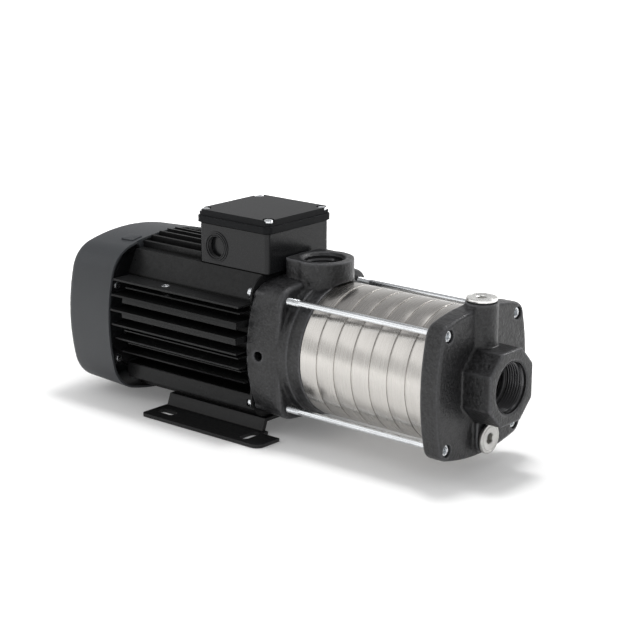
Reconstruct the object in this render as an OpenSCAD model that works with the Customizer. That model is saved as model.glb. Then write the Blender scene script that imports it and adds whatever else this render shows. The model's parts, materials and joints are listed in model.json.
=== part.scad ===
// Horizontal multistage pump: a finned motor, a cast discharge housing, a stack
// of steel stage chambers held by four stay bolts, and a cast inlet housing.
// The shaft lies along X, the suction end points to +X, and the floor is Z = 0.
// Inside the modules X is measured from the front face of the discharge flange
// and Y and Z from the shaft axis; the module at_rest() puts them in place.

/* [Stages] */
// Number of stages
stages = 7; // [5:1:9]
// Length of one stage along the shaft
stage_pitch = 18; // [17:0.5:21]
// Outer radius of a stage chamber
chamber_r = 56.3; // [55:0.1:57]
// Sheet thickness of a chamber
chamber_wall = 1.6; // [1.2:0.1:2]
// Width of the visible groove between two chambers
groove_w = 0.9; // [0.6:0.1:1.2]
// Radius of an impeller
impeller_r = 44; // [40:0.5:46]
// Sheet thickness of an impeller
impeller_wall = 1.2; // [1:0.1:1.4]
// Number of vanes on an impeller
impeller_vanes = 6; // [5:1:8]
// Radius of an impeller's eye
eye_r = 16; // [14:0.5:18]

/* [Pump housings] */
// Length of the discharge flange along the shaft
flange_len = 33; // [31:0.5:38]
// Half width of the discharge flange
flange_half = 59.7; // [59:0.1:59.8]
// Length of the round collar in front of the flange
collar_len = 20; // [18:0.5:24]
// Outer radius of the collar
collar_r = 59.2; // [58.6:0.1:60]
// Wall of the collar and of the housings round the water
cast_wall = 12; // [10:0.5:13]
// Thickness of the inlet plate
plate_len = 17; // [15:0.5:20]
// Half width of the inlet plate
plate_half = 61.5; // [60:0.5:62]
// Distance from the inlet plate's front to the suction face
suction_len = 27.5; // [25:0.5:33]
// Half width of the eight-sided suction boss
suction_half = 29; // [28:0.5:31]
// Radius of the suction port's thread
suction_r = 20.95; // [20:0.05:22]
// Radius of the discharge port's thread
discharge_r = 16.62; // [16:0.02:17.5]
// Height of the discharge face over the shaft axis
discharge_h = 75; // [72:0.5:80]
// Distance of the discharge axis behind the flange face
discharge_back = 1.5; // [0:0.5:3]
// Outer radius of the discharge boss
discharge_boss_r = 25.5; // [24:0.5:27]
// Radius of the threads of the priming and drain plugs
plug_thread_r = 8.33; // [7.5:0.01:8.6]
// Flange radius of the two plugs
plug_flange_r = 12.5; // [11:0.1:12.8]

/* [Stay bolts] */
// Distance of a stay bolt from the shaft axis, along Y and along Z
stay_at = 46.3; // [45.5:0.1:46.8]
// Radius of a stay bolt's shank
stay_shank_r = 2.65; // [2.4:0.05:2.8]
// Radius of a stay bolt's thread
stay_thread_r = 3; // [2.9:0.05:3.2]
// Radius of a stay bolt's head
stay_head_r = 4.8; // [4.5:0.1:5.2]

/* [Motor] */
// Length of the finned motor housing
motor_len = 150; // [144:1:170]
// Radius of the motor housing's barrel
barrel_r = 55; // [54:0.5:56]
// Radius of the stator bore in the motor housing
stator_r = 50; // [48:0.5:51]
// Half width of the motor over its fins
fin_half = 74.5; // [73:0.5:75]
// Thickness of a fin
fin_t = 1.6; // [1.4:0.1:2.4]
// Distance between two side fins
fin_pitch = 13.2; // [12.5:0.1:13.4]
// Height of the terminal pad over the shaft axis
pad_h = 61.5; // [60.5:0.5:63]
// Height of the shaft axis over the floor
shaft_h = 75; // [75:0.5:80]
// Length of the rotor and stator cores
core_len = 84; // [70:1:88]
// Radius of the rotor core
rotor_r = 29.5; // [27:0.5:30]
// Gap between rotor and stator
air_gap = 0.5; // [0.4:0.05:0.8]

/* [Shaft] */
// Radius of the pump end of the shaft
shaft_r = 6; // [5:0.25:6.5]
// Radius of the shaft in the drive-end bearing
drive_seat_r = 8.5; // [8:0.25:9]
// Radius of the shaft in the rear bearing
rear_seat_r = 7.5; // [7:0.25:8]
// Outer radius of the two bearings
bearing_r = 18; // [17.5:0.25:19]
// Width of the two bearings
bearing_w = 11; // [10:0.5:12]

/* [Fan cover] */
// Length of the fan cover
cover_len = 57; // [54:0.5:64]
// Half width of the fan cover at its open rim
cover_half = 75.5; // [75:0.5:77]
// Half height of the fan cover at its open rim
cover_half_h = 71.5; // [71:0.5:73]
// Wall of the fan cover
cover_wall = 2; // [1.6:0.1:2.4]
// Radius of the fan
fan_r = 58; // [50:0.5:60]
// Number of fan blades
fan_blades = 8; // [6:1:10]

/* [Terminal box] */
// Length of the terminal box along the shaft
box_l = 78; // [74:0.5:80]
// Width of the terminal box
box_w = 79; // [78:0.5:82]
// Height of the terminal box without its lid
box_h = 34.5; // [33:0.5:40]
// Wall of the terminal box
box_wall = 3; // [2.5:0.1:3.5]
// Overhang of the lid past the box on each side
lid_over = 2.2; // [1.6:0.1:2.4]
// Height of the lid
lid_h = 11; // [10:0.5:13]
// Radius of the cable entry's thread
entry_r = 10; // [9.5:0.25:10.5]

/* [Base plate] */
// Length of the base plate
base_l = 136; // [134:1:146]
// Width of the base plate
base_w = 157; // [152:1:170]
// Thickness of the base plate
base_t = 3; // [2.5:0.1:3.4]
// Distance between the slots along the shaft
slot_dx = 96; // [90:1:100]
// Distance between the slots across the shaft
slot_dy = 125; // [120:1:128]
// Width of a slot
slot_w = 9; // [8:0.5:10]
// End-to-end length of a slot
slot_l = 20; // [16:0.5:20]

/* [Clearances] */
// Gap at a seat between two pieces that are fastened together
seat_gap = 0.05; // [0.03:0.01:0.1]
// Gap between a turning piece and a fixed one
running_gap = 0.3; // [0.2:0.05:0.4]

/* [Hidden] */
$fn = 64;
eps = 0.01;

// Stations along the shaft
disc_t = 1.5;
chamber_seat = 0.5;
stack_end = collar_len + stages * stage_pitch;
plate_back = stack_end - chamber_seat;
plate_front = plate_back + plate_len;
suction_face = plate_front + suction_len;
motor_front = -flange_len;
motor_back = motor_front - motor_len;
cover_back = motor_back - cover_len;
mid_x = (suction_face + cover_back) / 2;

// Discharge housing
flange_corner_r = 18;
flange_bulge_r = 349;
back_half_y = flange_half + 3.5;
back_half_z = flange_half + 0.3;
back_bulge_y = 110;
back_bulge_z = 200;
flange_edge = 3;
back_edge = 1;
collar_step = 2.2;
collar_step_len = 8;
seal_wall = 7;
wet_back = -10;
lantern_r = 36;
leak_r = 4;
leak_back = 4.2;
leak_z = -1.5;
discharge_x = -discharge_back;
discharge_flat = 1;
discharge_corner_r = 7;
port_chamfer = 2.6;
boss_start = 42;
boss_gap = 0.8;
bore_start = 36;
thread_start = 50;
bore_step = 1.8;
wet_r = collar_r - cast_wall;
seal_bore_r = 15;
seal_shoulder = 2;
seal_open_r = 12.5;

// Inlet housing
plate_bulge_r = 180;
plate_corner_r = 13;
plate_edge = 3;
plate_form = [plate_half, plate_half, plate_bulge_r, plate_bulge_r, plate_corner_r];
passage_r = suction_r - 2.5;
passage_start = 3;
suction_thread_len = 20;
suction_corner = 1.6;
suction_round = 3;
suction_edge = 1;
suction_chamfer = 1.5;
boss_root = 2;
plug_boss_r = plug_flange_r + 1;
priming_x = plate_front - 3.5;
priming_top = 64.5;
priming_depth = 36;
drain_z = -46;
drain_web = 18;
drain_boss_len = 4.5;
drain_depth = 14;
plug_head_len = 2.8;
plug_shank_len = 9;
plug_edge = 0.6;
plug_hex = 8;
plug_hex_depth = 5;
washer_t = 1.2;

// Stay bolts and motor bolts
stay_head_len = 6;
stay_sink = 8.1;
stay_grip = 12;
stay_thread_len = 12.5;
stay_hex = 5;
stay_hex_depth = 3;
hole_extra = 0.4;
tap_extra = 2;
motor_bolt_y = 49;
motor_bolt_z = 47.5;
motor_bolt_r = 3;
motor_bolt_head_r = 5;
motor_bolt_head_len = 4.5;
motor_bolt_grip = 12;
bolt_scallop = 6;
lug_len = 2;
lug_half = 55.5;

// Stages
sleeve_in = chamber_r - chamber_wall;
groove_depth = chamber_wall / 2;
rim_t = 2.5;
rim_len = 5;
packing_w = 1.6;
packing_t = 1.4;
packing_out = sleeve_in + 0.1;
hub_r = shaft_r + 3.2;
eye_lip = 1.6;
ring_r = eye_r + eye_lip + running_gap;
ring_wall = 2.2;
ring_len = 3;
return_vane_len = 3.6;
return_vanes = 7;
impeller_gap = 1;
impeller_len = 8;
hub_len = 11;
vane_t = 1;
nut_len = 6;
nut_across = 17;
shaft_end = 2;

// Shaft seal
seal_x = wet_back - seal_wall + seal_shoulder;
seal_seat_len = 7;
seal_ring_len = 5;
seal_ring_r = 12;
spring_r = 9.6;
spring_wire = 0.9;
spring_turns = 4;
spring_len = 12;
spring_sides = 6;
spring_steps = 16;

// Motor
fin_count = 6;
shelf_z = 39.4;
shelf_half = fin_half - 4.3;
fin_mid_z = 12;
fin_ends = 1.5;
rail_start = 15;
rail_h = 5;
rail_in = 0.6;
drip_t = 1;
pad_half = box_w / 2;
shoulder_half = 50;
shoulder_z = 42;
shoulder_root = 20;
top_fin_pitch = 10;
top_fins = 3;
top_fin_rise = 11.5;
top_fin_r = 82;
fin_root = 48;
foot_h = 62;
foot_half = 53.5;
foot_block_h = 12.5;
foot_stem_half = 38;
foot_stem_h = 9.5;
foot_screw_dx = 34;
foot_screw_y = 30;
foot_screw_r = 2.5;
foot_screw_grip = 8;
foot_head_r = 5;
foot_head_len = 2.6;
lift_hole_r = 2.6;
lift_hole_y = 58.5;
lift_hole_back = 96;
cable_hole_r = 8;
core_mid = (motor_front + motor_back) / 2;
winding_len = 14;
winding_in = 33;
winding_out = 47;
winding_round = 4;
rotor_seat_r = 10;
cage_in = 20;
cage_out = 27;
cage_len = 7;

// Bearings and end shields
shield_t = 8;
shield_inset = 2;
shield_lip = 1.5;
hub_wall = 4;
drive_x = motor_front - shield_inset - shield_lip - bearing_w;
rear_x = motor_back - 0.5;
rear_plate_t = 3;
rear_spigot = 3;
shaft_hole_r = 11;
rear_hole_r = 9.5;
ball_r = 2.6;
ball_count = 8;
race_half = 1.2;
ear_t = 2;
ear_half = 4.5;
ear_in = 40;
ear_out = 68.5;
ear_z = [shelf_z - fin_pitch / 2, shelf_z - 5.5 * fin_pitch];
cover_screw_y = 65;
cover_screw_r = 1.75;
cover_screw_head_r = 3.2;
cover_screw_head_len = 2;
cover_screw_len = 11;

// Fan and cover
fan_front = motor_back - 11;
fan_len = 26;
fan_hub_r = 12;
fan_blade_t = 2;
fan_dish = 13;
cover_corner = 32;
cover_bulge_y = 170;
cover_bulge_z = 185;
cover_draft = 2.2;
cover_round = 9;
cover_lug_y = 60;
cover_lug_len = 10;
grille_step = 8;
grille_bar = 3;
grille_hub_r = 14;
grille_rings = 5;
spoke_t = 3;
spokes = 8;

// Terminal box
box_front = 4;
box_mid = motor_front + box_front - box_l / 2;
box_corner = 4;
post_l = 8;
post_w = 9.5;
post_in_x = box_l / 2 - post_l;
post_in_y = box_w / 2 - post_w;
lid_lower = 5.4;
lid_top_t = 3;
lid_step = 1.5;
lid_screw_in_x = 3.6;
lid_screw_in_y = 4.9;
lid_screw_x = box_l / 2 - lid_screw_in_x;
lid_screw_y = box_w / 2 - lid_screw_in_y;
lid_screw_r = 2;
lid_head_r = 4;
lid_notch = lid_head_r + 0.9;
lid_notch_depth = 2.4;
lid_head_len = 2.6;
lid_screw_grip = 12;
gasket_t = 1;
gasket_w = 4;
board_t = 6;
board_l = 40;
board_w = 46;
board_x = 14;
stud_r = 2;
stud_len = 12;
stud_pitch = 15;
stud_nut = 7;
earth_in = 13;
earth_x = earth_in - box_l / 2;
earth_r = 2.5;
earth_head_r = 5;
entry_in = 20;
entry_x = box_mid - box_l / 2 + entry_in;
entry_z = 16;
entry_ring_r = 13.3;
entry_ring_t = 0.7;
entry_wall = 1.6;
entry_sink = 2.2;

// Base plate
base_front = 26.9;
base_mid = motor_front + base_front - base_l / 2;
slot_shift = -3.9;
foot_shift = -11.5;
wall_foot_y = 47.3;
wall_top_y = 43.5;
base_corner = 8;
rear_corner = 4;
hat_front = 23;
hat_back = 1.2;
relief_len = 19;
relief_y = 51.5;

// Every node, in the order of assembly

// Places a piece from the shaft's own frame in the pump's frame
module at_rest() { translate([-mid_x, 0, shaft_h]) children(); }

// Extrudes a Y-Z outline along the shaft, from x over len
module prism(x, len) { translate([x, 0, 0]) rotate([90, 0, 90]) linear_extrude(len) children(); }

// Turns a [radius, x] outline about the shaft axis
module turned() { rotate([0, 90, 0]) rotate_extrude() children(); }

module rod(x, len, r, y = 0, z = 0) { translate([x, y, z]) rotate([0, 90, 0]) cylinder(h = len, r = r); }

module tube(x, len, ro, ri) {
    difference() {
        rod(x, len, ro);
        rod(x - 1, len + 2, ri);
    }
}

module four(y, z) { for (sy = [-1, 1], sz = [-1, 1]) translate([0, sy * y, sz * z]) children(); }

module hex_rod(x, len, across) {
    translate([x, 0, 0]) rotate([0, 90, 0]) cylinder(h = len, r = across / sqrt(3), $fn = 6);
}

// A rectangle with round corners, kept as true arcs
module round_rect(hx, hy, r) {
    square([2 * hx, 2 * (hy - r)], center = true);
    square([2 * (hx - r), 2 * hy], center = true);
    for (sx = [-1, 1], sy = [-1, 1]) translate([sx * (hx - r), sy * (hy - r)]) circle(r);
}

// A rectangle whose sides bulge out on large radii and whose corners are round;
// form = [half width, half height, side radius, top radius, corner radius]
module barrel_rect(form, inset = 0) {
    offset(r = form[4] - inset) offset(delta = -form[4]) intersection_for(s = [-1, 1]) {
        translate([s * (form[0] - form[2]), 0]) circle(form[2], $fn = 120);
        translate([0, s * (form[1] - form[3])]) circle(form[3], $fn = 120);
    }
}

// A cast slab from a back outline to a front outline, its front edge rounded and its back edge broken
module cast_slab(x, len, back, front, edge) {
    start = back == front ? back_edge : len - edge - back_edge;
    hull() {
        prism(x, back_edge) barrel_rect(back, back_edge);
        if (back != front) prism(x + back_edge, back_edge) barrel_rect(back);
        for (a = [0, 45, 90]) prism(x + start, len - start - edge * (1 - sin(a)))
            barrel_rect(front, edge * (1 - cos(a)));
    }
}

// Curved vanes between two radii, each a stretch of a ring that is off centre
module vanes(count, r_in, r_out, hand) {
    swirl_c = r_out * 0.42;
    swirl_r = r_out * 0.66;
    for (k = [0:count - 1]) rotate(360 / count * k) intersection() {
        difference() {
            circle(r_out);
            circle(r_in);
        }
        translate([swirl_c, 0]) difference() {
            circle(swirl_r + vane_t / 2);
            circle(swirl_r - vane_t / 2);
        }
        translate([-r_out, hand > 0 ? 0 : -r_out]) square([2 * r_out, r_out]);
    }
}

module discharge_boss() {
    lug = discharge_boss_r - discharge_flat;
    circle(discharge_boss_r);
    translate([-lug / 2, 0]) round_rect(lug / 2, lug, discharge_corner_r);
    translate([-lug / 4, 0]) square([lug / 2, 2 * lug], center = true);
}

module discharge_housing() at_rest() color([0.13, 0.13, 0.14]) {
    difference() {
        union() {
            cast_slab(motor_front, flange_len,
                [back_half_y, back_half_z, back_bulge_y, back_bulge_z, flange_corner_r],
                [flange_half, flange_half, flange_bulge_r, flange_bulge_r, flange_corner_r], flange_edge);
            turned() polygon([[0, -1], [collar_r, -1], [collar_r, collar_step_len],
                [collar_r - collar_step, collar_step_len + 1], [collar_r - collar_step, collar_len],
                [0, collar_len]]);
            translate([discharge_x, 0, boss_start]) linear_extrude(discharge_h - boss_start)
                discharge_boss();
        }
        rod(wet_back, collar_len + 1 - wet_back, wet_r);
        rod(collar_len, discharge_boss_r, chamber_r + boss_gap);
        rod(motor_front - 1, flange_len + 1 + wet_back - seal_wall, lantern_r);
        rod(motor_front, flange_len, seal_open_r);
        rod(seal_x, seal_wall, seal_bore_r + seat_gap);
        translate([discharge_x, 0, bore_start]) cylinder(h = discharge_h, r = discharge_r - bore_step);
        translate([discharge_x, 0, thread_start]) cylinder(h = discharge_h, r = discharge_r);
        translate([discharge_x, 0, discharge_h - port_chamfer])
            cylinder(h = port_chamfer + eps, r1 = discharge_r, r2 = discharge_r + port_chamfer);
        for (s = [0, 180]) translate([wet_back - seal_wall - leak_back, 0, leak_z]) rotate([s, 0, 0])
            rotate([90, 0, 0]) cylinder(h = flange_half + 5, r = leak_r);
        four(stay_at, stay_at)
            rod(-stay_grip - tap_extra, stay_grip + 2 * tap_extra, stay_thread_r + seat_gap);
        four(motor_bolt_y, motor_bolt_z)
            rod(motor_front - 1, motor_bolt_grip + tap_extra + 1, motor_bolt_r + seat_gap);
    }
}

module suction_outline(inset) {
    offset(r = suction_round - inset) offset(delta = -suction_round) intersection() {
        square([2 * suction_half, 2 * suction_half + 2], center = true);
        rotate(45) square(2 * (suction_half + suction_corner), center = true);
    }
}

module inlet_housing() at_rest() color([0.13, 0.13, 0.14]) {
    difference() {
        union() {
            cast_slab(plate_back, plate_len, plate_form, plate_form, plate_edge);
            hull() {
                prism(plate_front - boss_root, suction_len + boss_root - suction_edge) suction_outline(0);
                prism(plate_front - boss_root, suction_len + boss_root) suction_outline(suction_edge);
            }
            translate([priming_x, 0, 0]) cylinder(h = priming_top, r = plug_boss_r);
            hull() {
                rod(plate_front - boss_root, drain_boss_len + boss_root, plug_flange_r, z = drain_z);
                rod(plate_front - boss_root, drain_boss_len + boss_root, plug_flange_r,
                    z = drain_z + drain_web);
            }
        }
        rod(plate_back - 1, chamber_seat + 1 + disc_t, chamber_r + seat_gap);
        turned() polygon([[0, stack_end], [wet_r, stack_end], [wet_r, stack_end + disc_t + 1],
            [passage_r, plate_front + passage_start], [passage_r, suction_face + 1],
            [0, suction_face + 1]]);
        rod(suction_face - suction_thread_len, suction_thread_len + 1, suction_r);
        turned() polygon([[0, suction_face - suction_chamfer], [suction_r, suction_face - suction_chamfer],
            [suction_r + suction_chamfer + 1, suction_face + 1], [0, suction_face + 1]]);
        translate([priming_x, 0, priming_top - priming_depth])
            cylinder(h = priming_depth + 1, r = plug_thread_r);
        rod(plate_front + drain_boss_len - drain_depth, drain_depth + 1, plug_thread_r, z = drain_z);
        four(stay_at, stay_at) {
            rod(plate_back - 1, plate_len + 2, stay_shank_r + hole_extra);
            rod(plate_front - stay_sink, stay_sink + 1, stay_head_r + hole_extra);
        }
    }
}

module stay_bolts() at_rest() color([0.78, 0.8, 0.82]) {
    seat = plate_front - stay_sink;
    four(stay_at, stay_at) difference() {
        union() {
            rod(-stay_grip, stay_grip + stay_thread_len, stay_thread_r);
            rod(stay_thread_len - 1, seat - stay_thread_len + 2, stay_shank_r);
            rod(seat, stay_head_len, stay_head_r);
        }
        hex_rod(seat + stay_head_len - stay_hex_depth, stay_hex_depth + 1, stay_hex);
    }
}

module stage_chamber(i) at_rest() color([0.72, 0.72, 0.7]) {
    x = collar_len + (i - 1) * stage_pitch;
    difference() {
        union() {
            tube(x, stage_pitch - groove_w, chamber_r, sleeve_in);
            tube(x + rim_len, stage_pitch - rim_len, chamber_r - groove_depth, sleeve_in);
            tube(x, rim_len, chamber_r - groove_depth, sleeve_in - rim_t);
            tube(x, disc_t, sleeve_in, ring_r + ring_wall + seat_gap);
            prism(x + disc_t / 2, return_vane_len + disc_t / 2)
                vanes(return_vanes, ring_r + ring_wall + 4, sleeve_in - rim_t + 0.5, -1);
        }
        tube(x - 1, packing_t + 1, packing_out + seat_gap, packing_out - packing_w - seat_gap);
    }
}

module chamber_packings() at_rest() color([0.1, 0.1, 0.1]) {
    for (i = [0:stages - 1])
        tube(collar_len + i * stage_pitch, packing_t - seat_gap, packing_out, packing_out - packing_w);
}

module impeller(i) at_rest() color([0.7, 0.71, 0.72]) {
    front = collar_len + i * stage_pitch;
    x = front - stage_pitch + disc_t + return_vane_len + impeller_gap;
    tube(x, hub_len, hub_r, shaft_r + seat_gap);
    tube(x, impeller_wall, impeller_r, hub_r - 1);
    tube(x + impeller_len - impeller_wall, impeller_wall, impeller_r, eye_r);
    tube(x + impeller_len - impeller_wall, front + disc_t - x - impeller_len + impeller_wall,
        eye_r + eye_lip, eye_r);
    prism(x + impeller_wall / 2, impeller_len - impeller_wall)
        vanes(impeller_vanes, eye_r - 1, impeller_r - 0.4, 1);
}

module neck_rings() at_rest() color([0.16, 0.15, 0.14]) {
    for (i = [1:stages]) tube(collar_len + i * stage_pitch, ring_len, ring_r + ring_wall, ring_r);
}

module inlet_disc() at_rest() color([0.72, 0.72, 0.7]) {
    tube(stack_end, disc_t, chamber_r, ring_r + ring_wall + seat_gap);
}

module shaft_sleeves() at_rest() color([0.7, 0.71, 0.72]) {
    first_hub = collar_len + disc_t + return_vane_len + impeller_gap;
    seal_front = seal_x + seal_seat_len + seal_ring_len + spring_len;
    tube(seal_front, first_hub - seal_front, hub_r, shaft_r + seat_gap);
    for (i = [1:stages - 1])
        tube(first_hub + (i - 1) * stage_pitch + hub_len, stage_pitch - hub_len, hub_r - 1,
            shaft_r + seat_gap);
}

module shaft_nut() at_rest() color([0.75, 0.76, 0.77]) {
    last_hub = stack_end - stage_pitch + disc_t + return_vane_len + impeller_gap;
    difference() {
        hex_rod(last_hub + hub_len, nut_len, nut_across);
        rod(last_hub + hub_len - 1, nut_len + 2, shaft_r + seat_gap);
    }
}

module shaft() at_rest() color([0.75, 0.76, 0.77]) {
    fan_end = fan_front - fan_len - shaft_end;
    nut_end = stack_end - stage_pitch + disc_t + return_vane_len + impeller_gap + hub_len + nut_len;
    turned() polygon([[0, fan_end], [shaft_r, fan_end], [shaft_r, rear_x], [rear_seat_r, rear_x],
        [rear_seat_r, rear_x + bearing_w], [rotor_seat_r, rear_x + bearing_w],
        [rotor_seat_r, drive_x], [drive_seat_r, drive_x], [drive_seat_r, drive_x + bearing_w],
        [shaft_r, drive_x + bearing_w], [shaft_r, nut_end + shaft_end], [0, nut_end + shaft_end]]);
}

module rotor_core() at_rest() color([0.5, 0.51, 0.53]) {
    tube(core_mid - core_len / 2, core_len, rotor_r, rotor_seat_r + seat_gap);
    for (s = [-1, 1]) tube(core_mid + s * (core_len + cage_len) / 2 - cage_len / 2 - s * 0.5,
        cage_len, cage_out, cage_in);
}

module stator_core() at_rest() color([0.35, 0.36, 0.38]) {
    tube(core_mid - core_len / 2, core_len, stator_r - seat_gap, rotor_r + air_gap);
}

module stator_windings() at_rest() color([0.72, 0.4, 0.2]) {
    for (s = [0, 1]) mirror([s, 0, 0]) translate([(s == 0 ? 1 : -1) * core_mid, 0, 0]) turned()
        translate([(winding_in + winding_out) / 2, (core_len + winding_len) / 2])
            round_rect((winding_out - winding_in) / 2, winding_len / 2, winding_round);
}

module bearing_groove(x, seat_r) {
    turned() translate([(bearing_r + seat_r) / 2, x + bearing_w / 2]) circle(ball_r + seat_gap);
}

module outer_race(x, seat_r) {
    difference() {
        tube(x, bearing_w, bearing_r, (bearing_r + seat_r) / 2 + race_half);
        bearing_groove(x, seat_r);
    }
}

module inner_race(x, seat_r) {
    difference() {
        tube(x, bearing_w, (bearing_r + seat_r) / 2 - race_half, seat_r + seat_gap);
        bearing_groove(x, seat_r);
    }
}

module bearing_outer_races() at_rest() color([0.75, 0.76, 0.77]) {
    outer_race(drive_x, drive_seat_r);
    outer_race(rear_x, rear_seat_r);
}

module bearing_inner_races() at_rest() color([0.75, 0.76, 0.77]) {
    inner_race(drive_x, drive_seat_r);
    inner_race(rear_x, rear_seat_r);
}

module bearing_balls() at_rest() color([0.8, 0.8, 0.82]) {
    for (b = [[drive_x, drive_seat_r], [rear_x, rear_seat_r]], k = [1:ball_count])
        rotate([360 / ball_count * k, 0, 0])
            translate([b[0] + bearing_w / 2, 0, (bearing_r + b[1]) / 2]) sphere(ball_r);
}

module drive_end_shield() at_rest() color([0.2, 0.2, 0.21]) {
    face = motor_front - shield_inset;
    difference() {
        union() {
            rod(face - shield_t, shield_t, stator_r - seat_gap);
            rod(drive_x - 1, face - drive_x + 1, bearing_r + hub_wall);
        }
        rod(drive_x - 2, bearing_w + 2, bearing_r + seat_gap);
        rod(drive_x - 2, face - drive_x + 3, shaft_hole_r);
    }
}

module rear_end_shield() at_rest() color([0.2, 0.2, 0.21]) {
    difference() {
        union() {
            rod(motor_back - rear_plate_t, rear_plate_t, barrel_r + 1);
            rod(motor_back - 1, rear_spigot + 1, stator_r - seat_gap);
            rod(motor_back - rear_plate_t, rear_plate_t + bearing_w + 1, bearing_r + hub_wall);
            for (sy = [-1, 1], z = ear_z)
                prism(motor_back - ear_t, ear_t) translate([sy * (ear_in + ear_out) / 2, z])
                    square([ear_out - ear_in, 2 * ear_half], center = true);
        }
        rod(rear_x, bearing_w + 4, bearing_r + seat_gap);
        rod(motor_back - rear_plate_t - 1, rear_plate_t + 3, rear_hole_r);
        for (sy = [-1, 1], z = ear_z)
            rod(motor_back - ear_t - 1, ear_t + 2, cover_screw_r + seat_gap, sy * cover_screw_y, z);
    }
}

// A level bar across the motor, cut to a circle that stands off the fins' tips by the inset
module level_bar(z, t, inset) {
    intersection() {
        translate([0, fin_mid_z]) circle(fin_half - inset, $fn = 128);
        translate([-fin_half, z]) square([2 * fin_half, t]);
    }
}

module side_fins() {
    for (i = [1:fin_count]) level_bar(shelf_z - i * fin_pitch - fin_t / 2, fin_t, 0);
    translate([-shelf_half, shelf_z - fin_t / 2]) square([2 * shelf_half, fin_t]);
}

// Thick rails under the two upper fins and thin drip ribs under three others;
// drip = [fin, drop below it, distance behind the tips]
module side_rails() {
    for (i = [1:2]) level_bar(shelf_z - i * fin_pitch - rail_h, rail_h, rail_in);
    for (drip = [[0, 5, 2.3], [3, 3.4, 1.4], [4, 2.4, 1.4]])
        level_bar(shelf_z - drip[0] * fin_pitch - drip[1] - drip_t, drip_t, drip[2]);
}

module top_fin_outline() {
    intersection() {
        translate([0, pad_h + top_fin_rise - top_fin_r]) circle(top_fin_r, $fn = 128);
        for (i = [-top_fins:top_fins]) translate([i * top_fin_pitch - fin_t / 2, fin_root])
            square([fin_t, pad_h + top_fin_rise - fin_root]);
    }
}

module barrel_outline() {
    circle(barrel_r, $fn = 128);
    polygon([[-pad_half, pad_h], [pad_half, pad_h], [shoulder_half, shoulder_z],
        [shoulder_half, shoulder_root], [-shoulder_half, shoulder_root], [-shoulder_half, shoulder_z]]);
    translate([-foot_half, foot_stem_h - foot_h]) square([2 * foot_half, foot_block_h]);
    translate([-foot_stem_half, -foot_h]) square([2 * foot_stem_half, foot_h / 2]);
}

module motor_housing() at_rest() color([0.1, 0.1, 0.11]) {
    box_back = box_mid - box_l / 2;
    difference() {
        union() {
            prism(motor_back, motor_len) barrel_outline();
            prism(motor_back + fin_ends, motor_len - 2 * fin_ends) side_fins();
            prism(motor_back + rail_start, motor_len - rail_start - fin_ends) side_rails();
            prism(motor_back, box_back - 3 - motor_back) top_fin_outline();
            prism(motor_front - lug_len, lug_len) intersection() {
                round_rect(lug_half, foot_h - 0.5, flange_corner_r);
                translate([-lug_half, -foot_h]) square([2 * lug_half, foot_h + pad_h]);
            }
        }
        rod(motor_back - 1, motor_len + 2, stator_r);
        four(motor_bolt_y, motor_bolt_z) {
            rod(motor_front - lug_len - 1, lug_len + 2, motor_bolt_r + hole_extra / 2);
            rod(motor_front - lug_len - bolt_scallop, bolt_scallop, motor_bolt_head_r + hole_extra);
        }
        translate([box_mid, 0, stator_r - 5]) cylinder(h = pad_h, r = cable_hole_r);
        for (sy = [-1, 1]) translate([motor_front - lift_hole_back, sy * lift_hole_y, shelf_z - 5])
            cylinder(h = 10, r = lift_hole_r);
        foot_screw_places() translate([0, 0, -foot_h - 1])
            cylinder(h = foot_screw_grip + 2, r = foot_screw_r + seat_gap);
    }
}

module foot_screw_places() {
    for (sx = [-1, 1], sy = [-1, 1])
        translate([base_mid + foot_shift + sx * foot_screw_dx, sy * foot_screw_y, 0]) children();
}

module motor_bolts() at_rest() color([0.78, 0.8, 0.82]) {
    seat = motor_front - lug_len;
    four(motor_bolt_y, motor_bolt_z) difference() {
        union() {
            rod(seat - 1, lug_len + motor_bolt_grip + 1, motor_bolt_r);
            rod(seat - motor_bolt_head_len, motor_bolt_head_len, motor_bolt_head_r);
        }
        hex_rod(seat - motor_bolt_head_len - 1, stay_hex_depth + 1, stay_hex);
    }
}

module fan() at_rest() color([0.12, 0.12, 0.13]) {
    back = fan_front - fan_len;
    difference() {
        union() {
            rod(back, fan_len, fan_hub_r);
            turned() polygon([[shaft_r, fan_front], [shaft_r, fan_front - fan_blade_t],
                [fan_r, fan_front - fan_dish - fan_blade_t], [fan_r, fan_front - fan_dish]]);
            intersection() {
                turned() polygon([[0, back], [fan_r, back], [fan_r, fan_front - fan_dish], [0, fan_front]]);
                for (k = [1:fan_blades]) rotate([360 / fan_blades * k, 0, 0])
                    translate([back - 1, -fan_blade_t / 2, fan_hub_r - 1])
                        cube([fan_len + 2, fan_blade_t, fan_r]);
            }
        }
        rod(back - 1, fan_len + 2, shaft_r + seat_gap);
    }
}

module cover_outline(inset) {
    barrel_rect([cover_half, cover_half_h, cover_bulge_y, cover_bulge_z, cover_corner], inset, $fn = 32);
}

// The fan cover's form, drawn in by the wall for its inside
module cover_form(inset) {
    rim = motor_back + (inset > 0 ? 1 : 0);
    back = cover_back + inset;
    turn = cover_round - inset;
    hull() {
        prism(rim - 1, 1) cover_outline(inset);
        for (a = [0:22.5:90]) prism(back + turn * (1 - sin(a)), 0.1)
            cover_outline(inset + cover_draft + turn * (1 - cos(a)));
    }
}

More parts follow.
